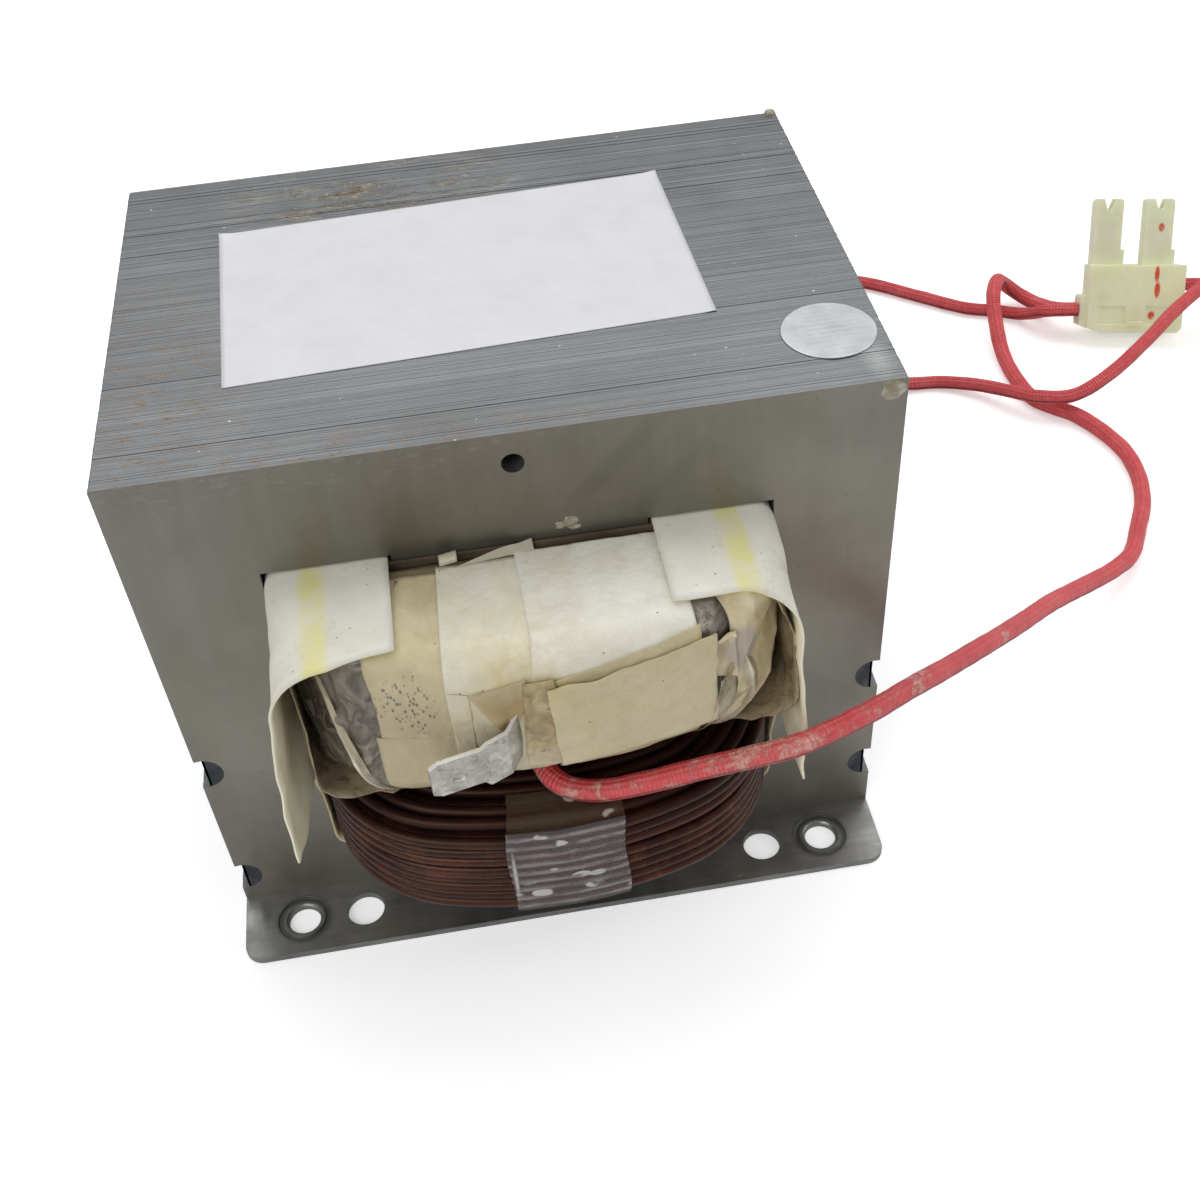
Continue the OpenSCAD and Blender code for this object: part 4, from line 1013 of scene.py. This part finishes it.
# the crests of the film's folds and the glints in the window at the right are painted pale:
# painted highlight, over the film's own whitish wisps
crest = m.mul(m.rise(m.value("fold"), 0.62, 0.92, 0.9),
              m.ramp(m.noise(5, 3), (0.40, 0.1), (0.60, 1.0)))
haze_and_sheen = m.top(wisp, crest)
glint = m.ramp(m.noise(1.8, 5, 0.7), (0.40, 0.35), (0.58, 1.0))
haze_and_sheen = m.top(haze_and_sheen, m.mul(m.spot((21.5, -55, 67.8), (3.6, 8, 3.0), 0.8), glint))
m.colour(m.mix(haze_and_sheen, (0.15, 0.115, 0.08), (0.62, 0.58, 0.48)))
m.put("Alpha", m.ramp(haze_and_sheen, (0.0, 0.22), (1.0, 0.80)))
m.bump(swirl, 0.5, m.bump(m.noise(1.6, 4, 0.65), 0.08))
film = m.mat
for side, name in ((-1, "left"), (1, "right")):
    band("corner_film_" + name, side * 16, side * 85, 0.0, 4.9,
         lambda u, p: 0.22 + 0.45 * unit((u - 0.08) / 0.1)
         * np.abs(np.sin(7 * u + 1.1 * p + 0.6 * np.sin(5 * p))) ** 2,
         film, "clear_film", ("film_" + name,), corner_point, nu=64, thick=0.05,
         crumple=0.5 if side < 0 else 0.1, seed=21 + side)
m = Shader("cream_film", Roughness=0.3, Coat_Weight=0.6, Coat_Roughness=0.1)
milk = m.noise(6.0, 3, 0.5, bend=0.6)
# the crests of the folds are painted light cream: painted highlight
crest = m.rise(m.value("fold"), 0.45, 0.90)
tone = m.ramp(milk, (0.35, (0.46, 0.39, 0.24)), (0.65, (0.70, 0.63, 0.45)))
m.colour(m.mix(crest, tone, (0.84, 0.79, 0.62)))
m.put("Alpha", m.top(m.ramp(milk, (0.38, 0.35), (0.62, 0.62)), m.mul(crest, 0.9)))
m.bump(milk, 0.25, m.bump(m.noise(1.4, 4, 0.65), 0.05))
veil = m.mat
band("left_cream_fold", edge((1.9, -47), (2.6, -42), (3.6, -27)),
     edge((1.9, -44), (2.6, -36), (3.6, -19)), 1.95, 3.7,
     lambda u, p: 0.75 + ridge(u, 0.35, 0.22, 0.45) * unit(p - 1.9), veil,
     place=corner_point, nu=24, nv=50, crumple=0.15, seed=27, thick=0.05)
m = Shader("crumpled_paper", Coat_Weight=0.4, Coat_Roughness=0.2)
tone = m.ramp(m.noise(7, 5, 0.6, bend=0.8), (0.3, (0.56, 0.45, 0.25)), (0.68, (0.77, 0.67, 0.43)))
# the valleys of the folds are painted brown as painted shade, and the crests light cream as
# painted highlight
tone = m.mix(m.ramp(m.value("fold"), (0.02, 0.8), (0.30, 0.0)), tone, (0.30, 0.225, 0.125))
tone = m.lay(tone, (0.86, 0.78, 0.54), m.value("fold"), 0.55, 0.90, 0.8)
tone = m.mix(m.spot((27.0, -54, 61.2), (3.0, 6, 4.6), 0.35), tone, (0.47, 0.41, 0.33))
m.colour(tone)
m.rough(m.cloud(0.35, 0.62, 4, 4))
m.bump(m.noise(3.0, 6, 0.7, bend=1.2), 0.35)
crumpled = m.mat
band("right_crumpled_paper",
     edge((0, 30), (2.50, 31), (2.60, 34), (2.95, 34), (3.15, 21), (5, 19)), 86,
     0.3, 4.6, lambda u, p: 0.75 + ridge(p, 1.62, 0.30, 1.9 - 0.8 * u) * unit(0.2 + 4 * u)
     + 1.1 * np.clip(p - 1.9, 0, 0.6) * (1 - np.abs(np.sin(2.3 * (p + 3.1 * u)))) ** 1.5,
     crumpled, place=corner_point, nu=90, nv=150, thick=0.1, crumple=0.9, seed=29)
band("right_paper_strip", edge((1.9, 20), (2.7, 22)), edge((1.9, 31.5), (2.7, 34)),
     lambda u: 2.04 - 0.09 * u, lambda u: 2.44 + 0.18 * u,
     lambda u, p: 0.9 + ridge(u, 1.0, 0.12, 0.5) + ridge(p, 2.02, 0.04, 0.3), crumpled,
     place=corner_point, nu=30, nv=40, thick=0.08, crumple=0.2, seed=38)
band("right_film_fold", edge((2.4, 25), (3.0, 21), (3.9, 13)),
     edge((2.4, 40), (3.0, 54), (3.9, 42)), lambda u: 2.52 - 0.30 * u, 3.95,
     lambda u, p: 1.05 + 0.9 * (1 - np.abs(np.sin(4.2 * u + 1.2 * p))) ** 1.6, veil,
     "clear_film", place=corner_point, nu=70, nv=80, thick=0.05, crumple=0.4, seed=34)

# card patch: a stiff square of card with a torn edge and one lifted corner
card = tape_material("card", (0.66, 0.58, 0.38), (0.54, 0.45, 0.26), 0.15, grime=0.2)


def torn(p, seed):
    """Uneven line of a torn edge."""
    return waves(np.stack([p * 9, p * 0], -1), 2.0, seed)


band("card_patch", lambda p: 0.1 + 0.9 * (p - 1.9) + 0.07 * torn(p, 5),
     lambda p: 23.1 + 0.12 * torn(p, 6),
     lambda u: 2.0 - 0.17 * u + 0.006 * np.sin(40 * u), lambda u: 3.10 + 0.02 * u,
     lambda u, p: 1.0 + ridge(u, 0, 0.15, 0.3)
     + ridge(np.hypot((u - 0.27) * 3, p - 1.90), 0, 0.22, 0.7), card,
     replaces=("paper_patch",), place=arc_point, nu=70, nv=60, thick=0.35, seed=33)
m = Shader("amber_pad", Roughness=0.4, Coat_Weight=0.5, Coat_Roughness=0.15)
stain = m.noise(3.5, 5, 0.65, bend=0.6)
tone = m.ramp(stain, (0.32, (0.22, 0.145, 0.06)), (0.50, (0.40, 0.295, 0.135)),
              (0.68, (0.52, 0.42, 0.23)))
tone = m.lay(tone, (0.60, 0.53, 0.36), m.sub(54, m.part(2)), 0.0, 1.0, 0.55)
m.colour(m.lay(tone, (0.12, 0.075, 0.03), m.noise(1.3, 4, 0.7), 0.58, 0.68, 0.6))
m.bump(stain, 0.4)
band("resin_pad", edge((1.8, -2.5), (2.1, -2.8), (3.0, -3.3)), edge((1.8, 1.2), (3.1, 2.4)),
     lambda u: 1.86 - 0.02 * u, 3.12, lambda u, p: 0.80 + 0.15 * np.sin(np.pi * u),
     m.mat, "brown_paper", ("stained_pad",), nu=24, nv=60, thick=0.3, crumple=0.2, seed=35)
rounded("front_tab", "front_blade", 0.12, tin.mat)

# loose ends of the film that stick up behind the tape, and drops of varnish
u = np.linspace(0, 1, 24)[:, None, None]
v = np.linspace(0, 1, 10)[None, :, None]
left, tip, low = np.array([(-8.8, -40.2, 69.9), (1.5, -37.9, 71.0), (1.6, -39.4, 70.0)])
grid = left * (1 - u) + (tip * (1 - v) + low * v) * u + (0, 0, 0.35) * np.sin(np.pi * u) * (1 - v)
grid[..., 2] += 0.08 * waves(grid, 2.5, 37)
bend = 4.4 * u
curl = np.array((-11.2, -39.6, 70.7)) + np.concatenate(
    [2.4 * v + 0 * u, -1.0 * np.cos(bend) * (1 - 0.3 * u) + 0 * v,
     0.9 * np.sin(bend) * (1 - 0.3 * u) + 0.5 * v], -1)
for name, grid in (("film_wedge", grid), ("film_curl", curl)):
    obj = piece(name, grid, quads(24, 10), veil, "clear_film", fold=np.full(240, 0.72))
    thicken(obj, 0.06)
m = Shader("varnish", Roughness=0.2, Coat_Weight=0.5)
m.colour(m.ramp(m.noise(1.2, 4), (0.35, (0.24, 0.20, 0.13)), (0.65, (0.44, 0.41, 0.31))))
m.bump(m.noise(0.8, 4), 0.1)
DROPLETS = (((50.6, -37.45, 87.2), (1.7, 0.35, 1.4)), ((51.4, 37.2, 88.4), (1.1, 0.9, 1.0)),
            ((6.9, -37.45, 72.7), (1.2, 0.4, 0.8)), ((5.6, -37.45, 72.2), (0.8, 0.3, 0.6)),
            ((7.4, -37.45, 71.6), (0.9, 0.3, 0.5)))
rows, around = 14, 24
lat = np.linspace(0.04, np.pi - 0.04, rows)[:, None]
lon = np.linspace(0, 2 * np.pi, around, endpoint=False)[None, :]
points, faces = [], []
for k, (centre, size) in enumerate(DROPLETS):
    ball = np.dstack([np.sin(lat) * np.cos(lon), np.sin(lat) * np.sin(lon), np.cos(lat) + 0 * lon])
    ball = ball * (1 + 0.16 * waves(ball, 1.6, 80 + k)[..., None]) * size + centre
    start = k * rows * around
    end = start + rows * around
    points.append(ball.reshape(-1, 3))
    faces += [tuple(c + start for c in f)[::-1] for f in quads(rows, around, wrap_v=True)]
    faces += [tuple(range(start, start + around)), tuple(range(end - around, end))[::-1]]
piece("varnish_drops", np.vstack(points), faces, m.mat, "clear_film")

# Window papers of the secondary
# Brown paper folds up from below the coil and white paper with a yellow line
# folds down over it. The free front ends flare out and curl.
PAPER_END, FOLD_R = 57.0, 2.5
# share of a fold's radius by which the paper is shorter than its square corner
FOLD_SAVES = 0.43


def folded(name, node, material, slot, side, edge_x, level, height, down, front, radius,
           flare, thick, seed, crumple=0.12, ragged=0.06, drop=0.0, tuck=0.0):
    """Paper folded along Y: a level part from edge_x to the fold, then a side part
    that goes down (or up). front gives the front edge's distance from the middle at
    each place across, radius the fold's radius at a distance in front of the core,
    drop how far the front hangs down and tuck how far the back leans in at the top."""
    na, nb = 46, 70
    across = np.linspace(0, 1, na)[:, None]
    v = np.linspace(0, 1, nb)[None, :]
    reach = front(across) + ragged * waves(across * (30.0, 0.0), 3.0, seed + 2)[:, None]
    y = PAPER_END - v * (PAPER_END + reach)
    ahead = np.clip(-y - CORE_Y, 0, None)
    behind = np.clip(y - CORE_Y, 0, None)
    r = radius(np.maximum(ahead, behind))
    width = LINER_X - edge_x
    total = width + height - FOLD_SAVES * FOLD_R
    s = across * total
    flat = width - r
    bend = np.pi / 2 * r
    turn = np.clip((s - flat) / r, 0, np.pi / 2)
    x = edge_x + np.minimum(s, flat) + r * np.sin(turn)
    fall = r * (1 - np.cos(turn)) + np.clip(s - flat - bend, 0, None)
    x = x + flare(ahead, fall / height) - tuck * behind * unit(fall / height - 0.68)
    z = (level - fall if down else level + fall) - drop * unit(ahead / 14) ** 1.5
    grid = np.dstack([side * x, y + 0 * x, z])
    free = unit(np.maximum(ahead, behind) / 8)
    sway = crumple * free * (waves(grid, 14, seed) + 0.4 * waves(grid, 5, seed + 1))
    normal = np.dstack([side * np.sin(turn), 0 * turn, np.cos(turn) * (1 if down else -1)])
    grid = grid + sway[..., None] * normal
    faces = quads(na, nb)
    if (side > 0) == down:
        faces = faces[:, ::-1]
    obj = piece(name, grid, faces, material, slot, (node,), across=s + 0 * v, ahead=-y + 0 * s)
    thicken(obj, thick)


m, tone = paper("white_paper", (0.86, 0.835, 0.74), (0.76, 0.73, 0.62), 0.6)
line = m.value("across")
stripe = m.ramp(m.div(m.sub(line, 8.0), 4.6), (0.0, 0.0), (0.30, 1.0), (0.70, 1.0), (1.0, 0.0))
stripe = m.mul(stripe, m.ramp(m.noise(3.0, 5, 0.7), (0.32, 0.25), (0.58, 1.0)))
dirt = m.rise(m.noise(5, 6, 0.72), 0.56, 0.72, 0.5)
tone = m.mix(dirt, tone, (0.50, 0.46, 0.37))
dust = m.mul(m.fall(m.cells(2.0), 0.05, 0.09), m.rise(m.noise(10, 3), 0.45, 0.60, 0.8))
tone = m.mix(dust, tone, (0.14, 0.12, 0.08))
lip = m.add(m.div(m.sub(m.value("ahead"), 54.0), 6.0), m.sub(m.noise(4, 4), 0.5))
tone = m.lay(tone, (0.66, 0.58, 0.38), lip, 0.2, 0.9, 0.6)
# the side parts are tinted pale yellow, their own yellowing, and made lighter as painted light
# standing in for light through the thin paper
side_tint_and_light = m.rise(m.div(m.sub(line, 17.0), 30.0), 0.0, 0.6, 0.8)
tone = m.mix(side_tint_and_light, tone, (0.92, 0.87, 0.64))
# the inside, whose normals point down or to the middle, is yellowed
normal = m.node("ShaderNodeNewGeometry", {}).outputs["Normal"]
facing = m.add(m.part(2, normal), m.mul(m.part(0, normal), m.calc("SIGN", m.part(0), 0)))
inside = m.cloud((0.80, 0.73, 0.50), (0.92, 0.87, 0.66), 6, 4, 0.6)
tone = m.mix(m.fall(m.add(facing, 1), 0.8, 0.95), tone, inside)
m.colour(m.mix(stripe, tone, (0.80, 0.76, 0.34)))
white = m.mat


def curl(a):
    """Radius of the white papers' fold, a millimetres in front of the core."""
    return FOLD_R + 6.2 * unit((a - 2) / 14) ** 1.3


def open_fold(a):
    """Radius of the brown papers' fold."""
    return FOLD_R + 3.0 * unit(a / 15)


folded("sheet_left", "white_paper_left", white, "white_paper", -1, 18.0, LINER_TOP,
       LINER_TOP - LINER_LOW, True,
       lambda c: np.interp(c, [0, 0.18, 0.35, 0.6, 1.0], [54.6, 56.6, 57.0, 57.0, 57.9]),
       curl, lambda a, f: 2.6 * unit(a / 19.5) ** 2 * unit(f * 1.3),
       0.35, 41, 0.2)
folded("sheet_right", "white_paper_right", white, "white_paper", 1, 18.0, LINER_TOP,
       LINER_TOP - LINER_LOW, True,
       lambda c: np.interp(c, [0, 0.3, 0.5, 0.75, 1.0], [53.4, 53.9, 55.2, 56.2, 57.2]),
       curl, lambda a, f: 0.8 * unit(a / 19.5) ** 2 * unit(f * 1.3),
       0.35, 47, 0.2)
folded("pocket_left", "brown_paper_left", brown.mat, "brown_paper", -1, 18.8, 45.3, 21.0, False,
       lambda c: np.interp(c, [0, 0.3, 0.5, 1.0], [52.5, 54.0, 54.8, 51.0]),
       open_fold, lambda a, f: -0.55 - 0.12 * a + 0 * f, 0.2, 41, 0.2, 0.3, 3.3, 0.5)
folded("pocket_right", "brown_paper_right", brown.mat, "brown_paper", 1, 18.8, 45.3, 21.0, False,
       lambda c: np.interp(c, [0, 0.3, 0.5, 1.0], [52.5, 54.0, 54.5, 51.5]),
       open_fold, lambda a, f: -0.55 + 0.03 * a - 0.5 * a * unit(f - 0.68),
       0.2, 47, 0.2, 0.3, 0.0, 0.5)
for side, name in ((-1, "left"), (1, "right")):
    folded("primary_paper_" + name, "primary_liner_" + name, cream.mat, "cream_paper", side,
           18.6, 16.8, 20.0, False,
           lambda c: np.interp(c, [0, 0.4, 0.5, 0.7, 1.0], [42, 42, 40, 40.5, 44]),
           lambda a: 1.5 + 0 * a, lambda a, f: 0 * a + 0 * f, 0.35, 61 + side, 0.1, 0.15)

# Connector
# Housing of natural nylon with two towers, each with a tinned receptacle in it.
# Red ink marks were dabbed on the towers and the lid.
m = Shader("nylon", Roughness=0.38, Subsurface_Weight=0.55, Subsurface_Scale=0.004)
m.put("Subsurface Radius", (0.9, 1.0, 0.5))
tone = m.cloud((0.76, 0.78, 0.50), (0.86, 0.87, 0.62), 6, 4, 0.6)
CONNECTOR_AT, CONNECTOR_TURN = (147.1, 77.3, 4), (-30, 0, -13.9)
own = m.node("ShaderNodeMapping", {"Vector": m.mm, "Location": CONNECTOR_AT,
                                   "Rotation": [math.radians(a) for a in CONNECTOR_TURN]},
             vector_type="TEXTURE").outputs[0]
smudge = m.noise(1.2, 4, 0.7)
for centre, size in (((4.5, 1.5, 23.2), (0.75, 1.0, 1.1)), ((4.1, 0, 13.0), (0.62, 0.9, 2.2)),
                     ((4.4, 0, 9.6), (0.72, 0.9, 2.2)), ((3.6, 0, 3.9), (0.95, 1.0, 1.2))):
    dab = m.spot(centre, size, 0.35, own)
    dab = m.mul(dab, m.ramp(smudge, (0.30, 0.55), (0.5, 1.0)))
    tone = m.mix(dab, tone, (0.72, 0.085, 0.03))
m.colour(tone)
m.rough(m.cloud(0.30, 0.52, 2.5, 5, 0.7))
m.bump(m.noise(1.1, 4, 0.6), 0.03)
rounded("connector_housing", "housing_shell", 0.22, m.mat)
rounded("connector_contacts", "receptacles", 0.06, tin.mat)

# Label and sticker
# A white self-adhesive label lies on the top leaves, with two corners a little
# lifted, and a round foil sticker beside it. Both are left bare.
label, _ = paper("label_paper", (0.74, 0.735, 0.75), (0.68, 0.675, 0.69), 0.42, 0.01)
foil = Shader("silver_foil", Metallic=0.9)
brush = foil.noise(1, 4, 0.7, foil.scaled((0.15, 3.5, 1)))
foil.colour(foil.cloud((0.44, 0.455, 0.47), (0.58, 0.595, 0.61), 4, 4))
foil.rough(foil.ramp(brush, (0.3, 0.34), (0.7, 0.50)))
foil.bump(brush, 0.02)


def sticker(name, node, plan, faces, rim, material, slot):
    """Thin sheet on the top leaves: it sinks a little between them, and rim is its
    lift at each point."""
    plan = np.asarray(plan, float)
    z = CORE_TOP + 0.13 + 0.004 * np.sin(plan[..., 1] * 2 * np.pi / LEAF / 2) + rim
    obj = piece(name, np.dstack([plan.reshape(1, -1, 2), z.reshape(1, -1)]), faces, material,
                slot, (node,))
    thicken(obj, 0.1)


LABEL_X, LABEL_Y, LABEL_AT, LABEL_TURN = 67.7, 40.0, (-3.2, 1.8), math.radians(2.1)
STICKER_R, STICKER_AT = 6.6, (45.1, -24.9)
turn = LABEL_TURN
spin = np.array([[math.cos(turn), math.sin(turn)], [-math.sin(turn), math.cos(turn)]])
u, v = np.meshgrid(np.linspace(-1, 1, 90), np.linspace(-1, 1, 160), indexing="ij")
plan = np.dstack([u * LABEL_X / 2, v * LABEL_Y / 2]) @ spin + LABEL_AT
rim = 0.25 * unit(np.abs(u * v) - 0.93) / 0.07 * unit(0.5 + waves(plan, 30, 73))
sticker("bare_label", "paper_label", plan, quads(90, 160), rim, label.mat, "white_paper")
turn = np.linspace(0, 2 * np.pi, 72, endpoint=False)
rings = np.linspace(0.03, 1, 24)[:, None, None]
plan = rings * STICKER_R * np.stack([np.cos(turn), np.sin(turn)], -1)[None] + STICKER_AT
faces = list(quads(24, 72, wrap_v=True)) + [tuple(range(72))]
sticker("foil_sticker", "round_sticker", plan, faces, 0 * plan[..., 0], foil.mat, "silver_foil")
